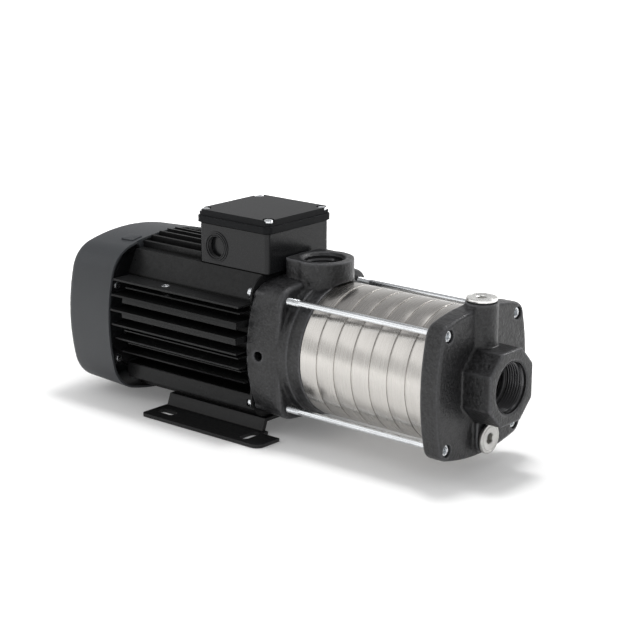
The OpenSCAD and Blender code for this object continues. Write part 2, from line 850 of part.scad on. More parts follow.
module grille_openings() {
    outer_r = grille_hub_r + grille_rings * grille_step;
    difference() {
        rod(cover_back - 1, cover_wall + 2, outer_r - grille_bar);
        rod(cover_back - 2, cover_wall + 4, grille_hub_r);
        for (k = [1:grille_rings - 1])
            tube(cover_back - 2, cover_wall + 4, grille_hub_r + k * grille_step,
                grille_hub_r + k * grille_step - grille_bar);
        for (k = [1:spokes]) rotate([360 / spokes * k, 0, 0])
            translate([cover_back - 2, -spoke_t / 2, 0]) cube([cover_wall + 4, spoke_t, outer_r]);
    }
}

module fan_cover() at_rest() color([0.2, 0.21, 0.23]) {
    lug_front = motor_back - ear_t;
    difference() {
        union() {
            difference() {
                cover_form(0);
                cover_form(cover_wall);
                grille_openings();
            }
            intersection() {
                cover_form(cover_wall / 2);
                for (sy = [-1, 1], z = ear_z) prism(lug_front - cover_lug_len, cover_lug_len)
                    translate([sy * (cover_lug_y + cover_half) / 2, z])
                        square([cover_half - cover_lug_y, 2 * ear_half], center = true);
            }
        }
        for (sy = [-1, 1], z = ear_z)
            rod(lug_front - cover_lug_len - 1, cover_lug_len + 2, cover_screw_r + seat_gap,
                sy * cover_screw_y, z);
    }
}

module fan_cover_screws() at_rest() color([0.78, 0.8, 0.82]) {
    for (sy = [-1, 1], z = ear_z) {
        rod(motor_back - cover_screw_len, cover_screw_len + 1, cover_screw_r, sy * cover_screw_y, z);
        rod(motor_back, cover_screw_head_len, cover_screw_head_r, sy * cover_screw_y, z);
    }
}

// Inside outline of the terminal box, which leaves a solid post in each corner
module box_cavity() {
    square([box_l - 2 * box_wall, 2 * post_in_y], center = true);
    square([2 * post_in_x, box_w - 2 * box_wall], center = true);
}

module lid_screw_places() {
    for (sx = [-1, 1], sy = [-1, 1])
        translate([box_mid + sx * lid_screw_x, sy * lid_screw_y, pad_h + box_h]) children();
}

module terminal_box() at_rest() color([0.17, 0.18, 0.19]) {
    difference() {
        union() {
            translate([box_mid, 0, pad_h]) linear_extrude(box_h) round_rect(box_l / 2, box_w / 2, box_corner);
            translate([entry_x, -box_w / 2 + 1, pad_h + entry_z]) rotate([90, 0, 0])
                cylinder(h = entry_ring_t + 1, r = entry_ring_r);
        }
        translate([box_mid, 0, pad_h + box_wall]) linear_extrude(box_h) box_cavity();
        translate([box_mid, 0, pad_h - 1]) cylinder(h = box_wall + 2, r = cable_hole_r);
        translate([entry_x, 1 - box_w / 2 + box_wall, pad_h + entry_z]) rotate([90, 0, 0])
            cylinder(h = box_wall + entry_ring_t + 2, r = entry_r + seat_gap);
        lid_screw_places() translate([0, 0, -lid_screw_grip - 1])
            cylinder(h = lid_screw_grip + 2, r = lid_screw_r + seat_gap);
        translate([box_mid + earth_x, 0, pad_h + box_wall / 2]) cylinder(h = box_wall, r = earth_r + seat_gap);
    }
}

module entry_plug() at_rest() color([0.17, 0.18, 0.19]) {
    translate([entry_x, box_wall - box_w / 2, pad_h + entry_z]) rotate([90, 0, 0]) difference() {
        cylinder(h = box_wall + entry_ring_t, r = entry_r);
        translate([0, 0, box_wall + entry_ring_t - entry_sink]) cylinder(h = box_wall, r = entry_r - entry_wall);
    }
}

module box_gasket() at_rest() color([0.1, 0.1, 0.1]) {
    translate([box_mid, 0, pad_h + box_h]) difference() {
        linear_extrude(gasket_t) round_rect(box_l / 2 - 1, box_w / 2 - 1, box_corner - 1);
        translate([0, 0, -1]) linear_extrude(gasket_t + 2) difference() {
            square([box_l - 2 * gasket_w, box_w - 2 * gasket_w], center = true);
            for (sx = [-1, 1], sy = [-1, 1]) translate([sx * box_l / 2, sy * box_w / 2])
                square([box_l - 2 * post_in_x, box_w - 2 * post_in_y], center = true);
        }
        for (sx = [-1, 1], sy = [-1, 1]) translate([sx * lid_screw_x, sy * lid_screw_y, -1])
            cylinder(h = gasket_t + 2, r = lid_screw_r + seat_gap);
    }
}

module terminal_lid() at_rest() color([0.19, 0.2, 0.21]) {
    hx = box_l / 2 + lid_over;
    hy = box_w / 2 + lid_over;
    translate([box_mid, 0, pad_h + box_h + gasket_t]) difference() {
        union() {
            linear_extrude(lid_lower) round_rect(hx, hy, box_corner + lid_over);
            linear_extrude(lid_h) round_rect(hx - lid_step, hy - lid_step, box_corner);
        }
        translate([0, 0, -1]) linear_extrude(lid_h - lid_top_t + 1) box_cavity();
        for (sx = [-1, 1], sy = [-1, 1]) {
            translate([sx * hx, sy * hy, lid_h - lid_notch_depth])
                linear_extrude(lid_h) square([2 * (hx - lid_screw_x), 2 * (hy - lid_screw_y)], center = true);
            translate([sx * lid_screw_x, sy * lid_screw_y, 0]) {
                translate([0, 0, lid_h - lid_notch_depth]) cylinder(h = lid_h, r = lid_notch);
                translate([0, 0, -1]) cylinder(h = lid_h + 2, r = lid_screw_r + seat_gap);
            }
        }
    }
}

module lid_screws() at_rest() color([0.78, 0.8, 0.82]) {
    seat = gasket_t + lid_h - lid_notch_depth;
    lid_screw_places() difference() {
        union() {
            translate([0, 0, -lid_screw_grip]) cylinder(h = lid_screw_grip + seat + 1, r = lid_screw_r);
            translate([0, 0, seat]) cylinder(h = lid_head_len, r = lid_head_r);
        }
        translate([0, 0, seat + 1]) rotate(20) linear_extrude(lid_head_len) {
            square([5, 0.9], center = true);
            square([0.9, 5], center = true);
        }
    }
}

module terminal_board() at_rest() color([0.6, 0.32, 0.12]) {
    translate([box_mid + board_x, 0, pad_h + box_wall]) difference() {
        translate([-board_l / 4, -board_w / 2, 0]) cube([board_l / 2, board_w, board_t]);
        stud_places() translate([0, 0, 1]) cylinder(h = board_t, r = stud_r + seat_gap);
    }
}

module stud_places() { for (k = [-1:1]) translate([0, k * stud_pitch, 0]) children(); }

module terminal_studs() at_rest() color([0.75, 0.6, 0.3]) {
    translate([box_mid + board_x, 0, pad_h + box_wall + 1]) stud_places() {
        cylinder(h = stud_len, r = stud_r);
        translate([0, 0, board_t - 1]) cylinder(h = 3, r = stud_nut / sqrt(3), $fn = 6);
    }
}

module earth_screw() at_rest() color([0.75, 0.6, 0.3]) {
    translate([box_mid + earth_x, 0, pad_h + box_wall / 2]) {
        cylinder(h = box_wall, r = earth_r);
        translate([0, 0, box_wall / 2]) cylinder(h = 3, r = earth_head_r, $fn = 6);
    }
}

// Revolved plug outline: shank, flange and a broken edge round the head
module plug(shank) {
    head = plug_flange_r;
    difference() {
        rotate_extrude() polygon([[0, -shank], [plug_thread_r - seat_gap, -shank],
            [plug_thread_r - seat_gap, washer_t], [head, washer_t],
            [head, washer_t + plug_head_len - plug_edge], [head - plug_edge, washer_t + plug_head_len],
            [0, washer_t + plug_head_len]]);
        translate([0, 0, washer_t + plug_head_len - plug_hex_depth])
            cylinder(h = plug_hex_depth + 1, r = plug_hex / sqrt(3), $fn = 6);
    }
}

module plug_washer() {
    difference() {
        cylinder(h = washer_t, r = plug_flange_r - 0.5);
        translate([0, 0, -1]) cylinder(h = washer_t + 2, r = plug_thread_r + seat_gap);
    }
}

module at_priming() at_rest() translate([priming_x, 0, priming_top]) children();

module at_drain() at_rest() translate([plate_front + drain_boss_len, 0, drain_z]) rotate([0, 90, 0]) children();

module priming_plug() color([0.62, 0.61, 0.58]) at_priming() plug(plug_shank_len);
module priming_washer() color([0.1, 0.1, 0.1]) at_priming() plug_washer();
module drain_plug() color([0.62, 0.61, 0.58]) at_drain() plug(plug_shank_len);
module drain_washer() color([0.1, 0.1, 0.1]) at_drain() plug_washer();

module seal_seat() at_rest() color([0.85, 0.84, 0.8]) {
    tube(seal_x, seal_seat_len, seal_bore_r, shaft_r + 2 * running_gap);
}

module seal_ring() at_rest() color([0.2, 0.2, 0.21]) {
    tube(seal_x + seal_seat_len + seat_gap, seal_ring_len, seal_ring_r, shaft_r + seat_gap);
}

// One coil spring, swept as rings of points about the shaft
module seal_spring() at_rest() color([0.7, 0.71, 0.72]) {
    start = seal_x + seal_seat_len + seal_ring_len + spring_wire + running_gap;
    rise = spring_len - 2 * (spring_wire + running_gap);
    steps = spring_turns * spring_steps;
    points = [for (i = [0:steps], j = [0:spring_sides - 1])
        let (turn = 360 * i / spring_steps, a = 360 * j / spring_sides, r = spring_r + spring_wire * cos(a))
        [start + rise * i / steps + spring_wire * sin(a), r * cos(turn), r * sin(turn)]];
    sides = [for (i = [0:steps - 1], j = [0:spring_sides - 1]) let (k = (j + 1) % spring_sides)
        [i * spring_sides + j, i * spring_sides + k, (i + 1) * spring_sides + k, (i + 1) * spring_sides + j]];
    first = [for (j = [spring_sides - 1:-1:0]) j];
    last = [for (j = [0:spring_sides - 1]) steps * spring_sides + j];
    polyhedron(points = points, faces = concat([first, last], sides));
}

module slot_outline(along_x) {
    run = (slot_l - slot_w) / 2;
    rotate(along_x ? 0 : 90) {
        square([2 * run, slot_w], center = true);
        for (s = [-1, 1]) translate([s * run, 0]) circle(slot_w / 2);
    }
}

module base_outline() {
    difference() {
        union() {
            translate([base_mid, 0]) round_rect(base_l / 2, base_w / 2, base_corner);
            translate([base_mid - base_l / 4, 0]) round_rect(base_l / 4, base_w / 2, rear_corner);
        }
        translate([base_mid, 0]) square([base_l + 2, 2 * (wall_foot_y - base_t)], center = true);
        translate([base_mid + base_l / 2 - relief_len, -relief_y]) square([relief_len + 1, 2 * relief_y]);
        for (sx = [-1, 1], sy = [-1, 1])
            translate([base_mid + slot_shift + sx * slot_dx / 2, sy * slot_dy / 2]) slot_outline(sx < 0);
    }
}

module base_plate() at_rest() color([0.1, 0.1, 0.11]) {
    floor_z = -shaft_h;
    hat_x = base_mid - base_l / 2 + hat_back;
    difference() {
        union() {
            translate([0, 0, floor_z]) linear_extrude(base_t) base_outline();
            prism(hat_x, base_l - hat_back - hat_front) polygon([
                [wall_foot_y - base_t, floor_z], [wall_foot_y, floor_z], [wall_foot_y, floor_z + base_t],
                [wall_top_y, -foot_h], [-wall_top_y, -foot_h], [-wall_foot_y, floor_z + base_t],
                [-wall_foot_y, floor_z], [base_t - wall_foot_y, floor_z],
                [base_t - wall_top_y, -foot_h - base_t], [wall_top_y - base_t, -foot_h - base_t]]);
        }
        foot_screw_places() translate([0, 0, -foot_h - base_t - 1])
            cylinder(h = base_t + 2, r = foot_screw_r + hole_extra / 2);
    }
}

module base_plate_screws() at_rest() color([0.3, 0.3, 0.31]) {
    foot_screw_places() {
        translate([0, 0, -foot_h - base_t - 1]) cylinder(h = base_t + foot_screw_grip + 1, r = foot_screw_r);
        translate([0, 0, -foot_h - base_t - foot_head_len]) cylinder(h = foot_head_len, r = foot_head_r);
    }
}

base_plate();
base_plate_screws();
motor_housing();
stator_core();
stator_windings();
drive_end_shield();
rear_end_shield();
motor_bolts();
bearing_outer_races();
bearing_balls();
bearing_inner_races();
shaft();
rotor_core();
fan();
fan_cover();
fan_cover_screws();
terminal_box();
terminal_board();
terminal_studs();
earth_screw();
entry_plug();
box_gasket();
terminal_lid();
lid_screws();
discharge_housing();
seal_seat();
seal_ring();
seal_spring();
shaft_sleeves();
shaft_nut();
chamber_packings();
neck_rings();
inlet_disc();
inlet_housing();
stay_bolts();
priming_plug();
priming_washer();
drain_plug();
drain_washer();
for (i = [1:stages]) stage_chamber(i);
for (i = [1:stages]) impeller(i);
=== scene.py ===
"""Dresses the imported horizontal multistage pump: castings, stage bands, motor, fan cover and terminal box."""
import json
import math

import bmesh
import bpy
import numpy as np
from mathutils import Matrix, Vector


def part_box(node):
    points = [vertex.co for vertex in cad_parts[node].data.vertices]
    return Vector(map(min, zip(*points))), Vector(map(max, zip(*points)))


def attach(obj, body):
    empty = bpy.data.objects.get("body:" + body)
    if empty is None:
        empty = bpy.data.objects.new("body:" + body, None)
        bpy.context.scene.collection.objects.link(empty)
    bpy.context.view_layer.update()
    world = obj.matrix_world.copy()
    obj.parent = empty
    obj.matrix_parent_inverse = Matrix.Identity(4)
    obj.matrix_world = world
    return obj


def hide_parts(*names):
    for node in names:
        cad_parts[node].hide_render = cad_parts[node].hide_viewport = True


bl_info = {
    "name": "Multistage pump dresser",
    "version": (1, 0, 0),
    "blender": (4, 5, 0),
    "location": "3D View > Sidebar > Pump",
    "description": "Builds the visible pieces and finishes of a horizontal multistage pump on its packed frame",
    "category": "Object",
}

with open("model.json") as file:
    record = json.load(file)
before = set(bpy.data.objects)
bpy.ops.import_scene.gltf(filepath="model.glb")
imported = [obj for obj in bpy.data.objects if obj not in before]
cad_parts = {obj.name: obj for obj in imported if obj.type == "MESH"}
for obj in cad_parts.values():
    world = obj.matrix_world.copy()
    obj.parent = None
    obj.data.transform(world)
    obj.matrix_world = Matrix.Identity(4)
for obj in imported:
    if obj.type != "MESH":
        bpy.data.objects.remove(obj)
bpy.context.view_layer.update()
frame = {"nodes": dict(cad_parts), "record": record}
STAGES = sum(name.startswith("stage_chamber_") for name in frame["nodes"])
AXIS_Z = float(sum(corner.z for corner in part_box("shaft")) / 2)
MM = 0.001

# The photograph's viewpoint: a turn about the upright, a rise over the floor, a roll, a distance and a lens
VIEW_TURN, VIEW_RISE, VIEW_ROLL = map(math.radians, (39.8725, 16.1214, 0.257))
VIEW_TARGET = Vector((0.017, 0.0, 0.075))
VIEW_DISTANCE = 1.56578
VIEW_LENS, VIEW_SENSOR = 104.08, 36
VIEW_SHIFT = (0.0037, 0.0344)

# Name, place, point faced, width, height, watts, whether mirrors show it and whether it lights matt skins
LAMPS = (
    ("lamp_over", (-0.05, 0.2, 1.5), (0.05, 0, 0.05), 0.26, 0.26, 11.5, False, True),
    ("lamp_high", (0.0, 0.2, 1.5), (0.05, 0, 0.05), 1.1, 0.7, 3.2, True, True),
    ("lamp_left", (-0.95, -1.0, 1.05), (0, 0, 0.08), 1.4, 1.0, 3.4, True, True),
    ("lamp_behind", (0.45, 1.2, 1.1), (0, 0, 0.15), 0.9, 0.35, 7, True, False),
    ("lamp_right", (1.5, -0.5, 0.75), (0.1, 0, 0.08), 0.7, 0.9, 2, False, True),
)
WHITE = (1, 1, 1, 1)
MIRROR_SKY, MATT_SKY = 0.95, 0.56  # strengths of the world in mirrors and on matt surfaces

GRILLE_EDGE = 51 * MM  # radius of the round opening in the fan cover's back


def size(label, default, note):
    """A length property in metres, from a default in millimetres."""
    return bpy.props.FloatProperty(name=label, description=note, default=default * MM, min=0.0, precision=5,
                                   subtype="DISTANCE", unit="LENGTH")


def colour(label, default, note):
    """A linear colour property."""
    return bpy.props.FloatVectorProperty(name=label, description=note, default=default, min=0.0, max=1.0,
                                         size=3, subtype="COLOR")


class PumpSizes(bpy.types.PropertyGroup):
    """Sizes of the pieces that are made here."""
    casting_cell: size("Casting cell", 0.95, "Cell of the skin that rounds the castings' edges and corners")
    edge_round: size("Edge round", 0.45, "Rounding of the moulded and painted edges")
    band_edge: size("Band edge", 0.75, "Rounding of a stage band's two edges")
    groove: size("Groove width", 0.9, "Width of the groove between two stage bands")
    band_wall: size("Band wall", 1.6, "Sheet thickness of a stage band")
    port_pitch: size("Port thread pitch", 2.309, "Pitch of the thread in both ports")
    port_depth: size("Port thread depth", 1.35, "Depth of the thread in both ports")
    port_mouth: size("Plain port mouth", 3.4, "Length of plain bore in front of a port's thread")
    stay_thread: size("Stay bolt thread radius", 3.0, "Radius of a stay bolt over its thread")
    stay_shank: size("Stay bolt shank radius", 2.65, "Radius of a stay bolt's plain shank")
    stay_head: size("Stay bolt head radius", 4.8, "Radius of a stay bolt's head")
    stay_pitch: size("Stay bolt pitch", 1.0, "Pitch of a stay bolt's thread")
    plug_hex: size("Plug socket", 8.0, "Width of a plug's hexagon socket across its flats")
    cover_wall: size("Cover wall", 2.0, "Wall of the fan cover")
    cover_side: size("Cover side radius", 170.0, "Radius on which the fan cover's sides bulge")
    cover_top: size("Cover top radius", 185.0, "Radius on which the fan cover's top and bottom bulge")
    cover_corner: size("Cover corner", 32.0, "Corner radius of the fan cover")
    cover_draft: size("Cover draft", 2.2, "How far the fan cover's sides lean in towards its back")
    cover_round: size("Cover round", 9.0, "Rounding between the fan cover's sides and its back")


class PumpColours(bpy.types.PropertyGroup):
    """Colours of the visible finishes."""
    casting: colour("Casting", (0.0150, 0.0151, 0.0160), "Black coat on the two pump castings")
    motor: colour("Motor", (0.0055, 0.0056, 0.0058), "Black coat on the motor housing")
    cover: colour("Fan cover", (0.031, 0.034, 0.038), "Moulded fan cover")
    box: colour("Terminal box", (0.0115, 0.0119, 0.0128), "Moulded terminal box and lid")
    steel: colour("Stage bands", (0.56, 0.54, 0.515), "Brushed stainless sheet")
    zinc: colour("Zinc", (0.80, 0.82, 0.84), "Bright zinc on bolts and screws")
    plug: colour("Plugs", (0.95, 0.94, 0.91), "Turned stainless plugs")
    foot: colour("Foot", (0.0075, 0.0075, 0.0078), "Powder coat on the sheet foot")


def closed(grid, wrap_rows=True):
    """Vertices and outward quads of a closed solid. The grid's columns run round and join up. Its rows
    join up too, or end in rows shrunk to one point. The sign of the summed tetrahedra tells the way out."""
    rows, cols = grid.shape[:2]
    i, j = np.meshgrid(np.arange(rows if wrap_rows else rows - 1), np.arange(cols), indexing="ij")
    k, m = (i + 1) % rows, (j + 1) % cols
    quads = np.stack([i * cols + j, k * cols + j, k * cols + m, i * cols + m], -1).reshape(-1, 4)
    points = grid.reshape(-1, 3)
    a, b, c, d = (points[quads[:, n]] - points.mean(0) for n in range(4))
    volume = np.einsum("ij,ij", a, np.cross(b, c)) + np.einsum("ij,ij", a, np.cross(c, d))
    return points, quads if volume > 0 else quads[:, ::-1]


def soften(corners, radii, steps=4):
    """A closed outline with round corners. Each corner gives way to an arc that touches both of its sides and
    turns evenly from one to the other."""
    points = np.asarray(corners, float)
    out = []
    for here, before, after, r in zip(points, np.roll(points, 1, 0), np.roll(points, -1, 0), radii):
        to_a, to_b = before - here, after - here
        room = 0.49 * min(np.linalg.norm(to_a), np.linalg.norm(to_b))
        to_a, to_b = to_a / np.linalg.norm(to_a), to_b / np.linalg.norm(to_b)
        half = math.acos(float(np.clip(to_a @ to_b, -1, 1))) / 2
        back = min(r / math.tan(half), room) if r > 0 and half > 0.01 else 0
        if back <= 0:
            out.append(here[None])
            continue
        centre = here + (to_a + to_b) / np.linalg.norm(to_a + to_b) * back / math.cos(half)
        t = np.linspace(0, 1, steps + 1)[:, None]
        spread = math.pi / 2 - half
        arm_a, arm_b = here + to_a * back - centre, here + to_b * back - centre
        out.append(centre + (np.sin((1 - t) * 2 * spread) * arm_a + np.sin(t * 2 * spread) * arm_b)
                   / math.sin(2 * spread))
    return np.concatenate(out)


def turned(profile, centre, axis="X", columns=96, six=None, turn=0.0):
    """A profile of (distance along the axis, radius) carried round the axis. Where six is 1 the radius is the
    half width of a hexagon: it grows as one over the cosine of the angle from the nearest flat's middle."""
    profile = np.asarray(profile, float)
    angle = np.linspace(0, 2 * math.pi, columns, endpoint=False) + turn
    six = np.zeros(len(profile)) if six is None else np.asarray(six, float)
    flat = 1 / np.cos((angle - turn) % (math.pi / 3) - math.pi / 6)
    radius = profile[:, 1:2] * (1 + six[:, None] * (flat[None] - 1))
    along = np.broadcast_to(profile[:, :1], radius.shape)
    u, v = radius * np.cos(angle), radius * np.sin(angle)
    parts = {"X": (along, u, v), "Z": (u, v, along), "Y": (v, along, u)}[axis]
    return np.stack(parts, -1) + np.asarray(centre, float)


def threaded(start, end, root, crest, pitch, back, centre, axis="X", columns=96, per_turn=12):
    """A threaded sleeve. Its threaded side is a wave whose phase is the distance along the axis less one
    pitch a turn, clipped to flat roots and crests. Its other side is a plain cylinder of the radius back."""
    rows = max(int((end - start) / pitch * per_turn), 8)
    along = np.linspace(start, end, rows)[:, None]
    angle = np.linspace(0, 2 * math.pi, columns, endpoint=False)[None]
    wave = np.abs(((along / pitch - angle / (2 * math.pi)) % 1) * 2 - 1)
    fade = np.clip(np.minimum(along - start, end - along) / pitch * 1.5, 0, 1)
    radius = root + (crest - root) * np.clip((wave - 0.14) / 0.72, 0, 1) * fade
    grid = np.stack(np.broadcast_arrays(along, radius * np.cos(angle), radius * np.sin(angle)), -1)
    plain = np.stack(np.broadcast_arrays(np.array([[end], [start]]), back * np.cos(angle),
                                         back * np.sin(angle)), -1)
    grid = np.concatenate([grid, plain])
    order = {"X": (0, 1, 2), "Z": (1, 2, 0), "Y": (2, 0, 1)}[axis]
    return grid[..., order] + np.asarray(centre, float)


def outline(half_u, half_v, corner, arc=10, side=8):
    """A rectangle with round corners as one closed loop: four quarter circles joined by even steps."""
    bend = np.linspace(0, math.pi / 2, arc)
    quarter = np.stack([np.cos(bend), np.sin(bend)], -1) * corner
    loop = []
    for n, (u, v) in enumerate([(1, 1), (-1, 1), (-1, -1), (1, -1)]):
        spin = n * math.pi / 2
        turn = np.array([[math.cos(spin), math.sin(spin)], [-math.sin(spin), math.cos(spin)]])
        loop.append(quarter @ turn + [u * (half_u - corner), v * (half_v - corner)])
    ends = [(loop[n][-1], loop[(n + 1) % 4][0]) for n in range(4)]
    even = np.linspace(0, 1, side + 2)[1:-1, None]
    return np.concatenate([part for n in range(4)
                           for part in (loop[n], ends[n][0] + (ends[n][1] - ends[n][0]) * even)])


def barrel(half_u, half_v, bulge_u, bulge_v, corner, inset=0.0, count=144):
    """A rectangle whose sides bulge on two radii, with round corners that touch both. Each point is its
    circle's centre plus the radius along its normal, so drawing the loop in only shortens the radii."""
    side, top = np.array([half_u - bulge_u, 0]), np.array([0, half_v - bulge_v])
    gap = np.linalg.norm(top - side)
    along = ((bulge_u - corner) ** 2 - (bulge_v - corner) ** 2 + gap ** 2) / (2 * gap)
    off = math.sqrt((bulge_u - corner) ** 2 - along ** 2)
    way = (top - side) / gap
    middle = side + way * along + np.array([-way[1], way[0]]) * off
    angle = np.linspace(0, 2 * math.pi, count, endpoint=False)
    normal = np.stack([np.cos(angle), np.sin(angle)], -1)
    rise = np.arctan2(abs(normal[:, 1]), abs(normal[:, 0]))[:, None]
    first, last = (math.atan2(*(middle - centre)[::-1]) for centre in (side, top))
    by_side, by_top = rise < first, rise > last
    centre = np.where(by_side, side, np.where(by_top, top, middle))
    radius = np.where(by_side, bulge_u, np.where(by_top, bulge_v, corner)) - inset
    return centre * np.sign(normal) + normal * radius


def soft_block(low, high, radius):
    """A block with round edges: its outline is drawn in at both ends along Z by a quarter circle."""
    low, high = np.asarray(low, float), np.asarray(high, float)
    mid, half = (low + high) / 2, (high - low) / 2
    bend = np.linspace(0, math.pi / 2, 4)
    rise, fall = radius * (1 - np.cos(bend)), radius * (1 - np.sin(bend))
    corner = radius * 1.6
    rows = [np.insert(outline(half[0] - n, half[1] - n, max(corner - n, 1e-5), 5, 1), 2, h, axis=1)
            for n, h in zip([*fall, *rise], [*(rise - half[2]), *(half[2] - fall)])]
    rows = [rows[0] * [0, 0, 1], *rows, rows[-1] * [0, 0, 1]]
    return closed(np.stack(rows) + mid, wrap_rows=False)


def socketed(rows, face, inward, centre, axis="X", columns=48, turn=0.0):
    """A solid turned from rows of (depth under its face in mm, radius in mm, share of a hexagon). Inward is
    the sign of the way from the face into the solid."""
    rows = np.asarray(rows, float)
    profile = rows[:, :2] * [inward * MM, MM] + [face, 0]
    return closed(turned(profile, centre, axis, columns, rows[:, 2], turn), wrap_rows=False)


def turn_x(points, angle, centre):
    """Points turned about the line along X through a centre, from Y towards Z."""
    cosine, sine = math.cos(angle), math.sin(angle)
    turn = np.array([[1, 0, 0], [0, cosine, sine], [0, -sine, cosine]])
    return (points - centre) @ turn + centre


def add_piece(name, solids, finish, body, replaced=(), sharp=35):
    """Joins solids of (vertices, quads) into one smooth-shaded piece that rides on a body."""
    points = np.concatenate([s[0] for s in solids])
    starts = np.cumsum([0] + [len(s[0]) for s in solids[:-1]])
    mesh = mesh_of(name, points, np.concatenate([s[1] + start for s, start in zip(solids, starts)]))
    weld(mesh)
    return place(name, mesh, finish, body, replaced, sharp)


def mesh_of(name, points, quads):
    """A mesh of vertices and quads."""
    mesh = bpy.data.meshes.new(name)
    mesh.from_pydata(points.tolist(), [], quads.tolist())
    return mesh


def weld(mesh, flat=None, extra=()):
    """Adds extra solids, merges doubled vertices and, with flat (radians), joins flat faces' triangles."""
    work = bmesh.new()
    work.from_mesh(mesh)
    for points, quads in extra:
        more = mesh_of("extra", points, quads)
        work.from_mesh(more)
        bpy.data.meshes.remove(more)
    bmesh.ops.remove_doubles(work, verts=work.verts, dist=2e-7)
    if flat is not None:
        bmesh.ops.dissolve_limit(work, angle_limit=flat, verts=work.verts, edges=work.edges)
    work.to_mesh(mesh)
    work.free()


def place(name, mesh, finish, body, replaced=(), sharp=35):
    """Puts a mesh in the scene with its finish, its body and the CAD nodes that it stands for."""
    if sharp:
        mesh.shade_smooth()
        mesh.set_sharp_from_angle(angle=math.radians(sharp))
    mesh.materials.clear()
    mesh.materials.append(bpy.data.materials[finish + Finish.ENDING])
    made = bpy.data.objects.new(name, mesh)
    bpy.context.scene.collection.objects.link(made)
    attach(made, body)
    if replaced:
        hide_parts(*replaced)
    return made


def worked_copy(name, node, modifiers, flat=None, extra=()):
    """A merged copy of a CAD node's mesh, joined by extra solids, with modifiers worked into it."""
    mesh = frame["nodes"][node].data.copy()
    weld(mesh, flat, extra)
    mesh.shade_smooth()
    rough = bpy.data.objects.new(name + "_rough", mesh)
    bpy.context.scene.collection.objects.link(rough)
    for kind, values in modifiers:
        modifier = rough.modifiers.new(kind.title(), kind)
        for key, value in values.items():
            setattr(modifier, key, value)
    bpy.context.view_layer.update()
    baked = bpy.data.meshes.new_from_object(rough.evaluated_get(bpy.context.evaluated_depsgraph_get()))
    bpy.data.objects.remove(rough)
    bpy.data.meshes.remove(mesh)
    baked.name = name
    return baked


def edged_piece(name, node, width, finish, body="pump", segments=2, sharp=None):
    """A piece with a node's own form, on which each sharp edge is turned round."""
    mesh = worked_copy(name, node, [
        ("BEVEL", {"width": width, "segments": segments, "limit_method": "ANGLE", "miter_outer": "MITER_ARC",
                   "angle_limit": math.radians(32), "use_clamp_overlap": True}),
        ("WEIGHTED_NORMAL", {"weight": 90, "keep_sharp": False})], flat=math.radians(0.4))
    place(name, mesh, finish, body, [node], sharp)


class Tree:
    """A node tree, with short ways to add and join nodes."""

    def __init__(self, owner):
        owner.use_nodes = True
        self.tree = owner.node_tree
        self.tree.nodes.clear()

    def add(self, kind, inputs=None, **settings):
        """A new node with its settings, and then with the values of its sockets."""
        node = self.tree.nodes.new(kind)
        for key, value in settings.items():
            setattr(node, key, value)
        for key, value in (inputs or {}).items():
            node.inputs[key].default_value = value
        return node

    def join(self, source, output, target, socket):
        """Links a source's output to a target's socket."""
        self.tree.links.new(source.outputs[output], target.inputs[socket])

    def larger(self, source, first, second):
        """The larger of two of a source's outputs."""
        node = self.add("ShaderNodeMath", operation="MAXIMUM")
        self.join(source, first, node, 0)
        self.join(source, second, node, 1)
        return node

    def tint(self, source, output, low, high, start=0.3, stop=0.7):
        """Carries a source's value onto a run from one colour to another."""
        node = self.add("ShaderNodeValToRGB")
        first, last = node.color_ramp.elements
        first.position, last.position = start, stop
        first.color, last.color = (*low, 1), (*high, 1)
        self.join(source, output, node, "Fac")
        return node


class Finish(Tree):
    """A material with one shader. The frame brings a plain material under each slot's name, so each finish
    has a name of its own."""
    ENDING = "_finish"

    def __init__(self, name):
        self.material = bpy.data.materials.new(name + self.ENDING)
        super().__init__(self.material)
        self.shader = self.add("ShaderNodeBsdfPrincipled")
        self.join(self.shader, "BSDF", self.add("ShaderNodeOutputMaterial"), "Surface")
        self.place = self.add("ShaderNodeTexCoord")

    def set(self, **values):
        """Sets values of the shader's own sockets, where base_color stands for Base Color."""
        for key, value in values.items():
            self.shader.inputs[key.replace("_", " ").title().replace("Ior", "IOR")].default_value = value

    def noise(self, scale, detail=3.0, roughness=0.55, stretch=None):
        """Noise on the piece's own place, with cells of one over scale metres."""
        node = self.add("ShaderNodeTexNoise", {"Scale": scale, "Detail": detail, "Roughness": roughness})
        if stretch is None:
            self.join(self.place, "Object", node, "Vector")
        else:
            mapping = self.add("ShaderNodeMapping", {"Scale": stretch})
            self.join(self.place, "Object", mapping, "Vector")
            self.join(mapping, "Vector", node, "Vector")
        return node

    def spread(self, source, output, low, high, target, socket, start=0.3, stop=0.7):
        """Maps start to stop of a source's value onto low to high of a socket."""
        node = self.add("ShaderNodeMapRange", {"From Min": start, "From Max": stop, "To Min": low,
                                               "To Max": high})
        self.join(source, output, node, "Value")
        self.join(node, "Result", target, socket)

    def product(self, first, second):
        """Two colours multiplied."""
        node = self.add("ShaderNodeMix", {"Factor": 1.0}, data_type="RGBA", blend_type="MULTIPLY")
        self.join(first, "Color", node, "A")
        self.join(second, "Color", node, "B")
        return node

    def bump(self, layers):
        """Stacks bumps of (source, output, strength, distance in millimetres)."""
        last = None
        for source, output, strength, distance in layers:
            node = self.add("ShaderNodeBump", {"Strength": strength, "Distance": distance * MM})
            self.join(source, output, node, "Height")
            if last:
                self.join(last, "Normal", node, "Normal")
            last = node
        self.join(last, "Normal", self.shader, "Normal")


def times(base, factor):
    """A colour made lighter or darker, held at full white."""
    return tuple(min(channel * factor, 1.0) for channel in base)


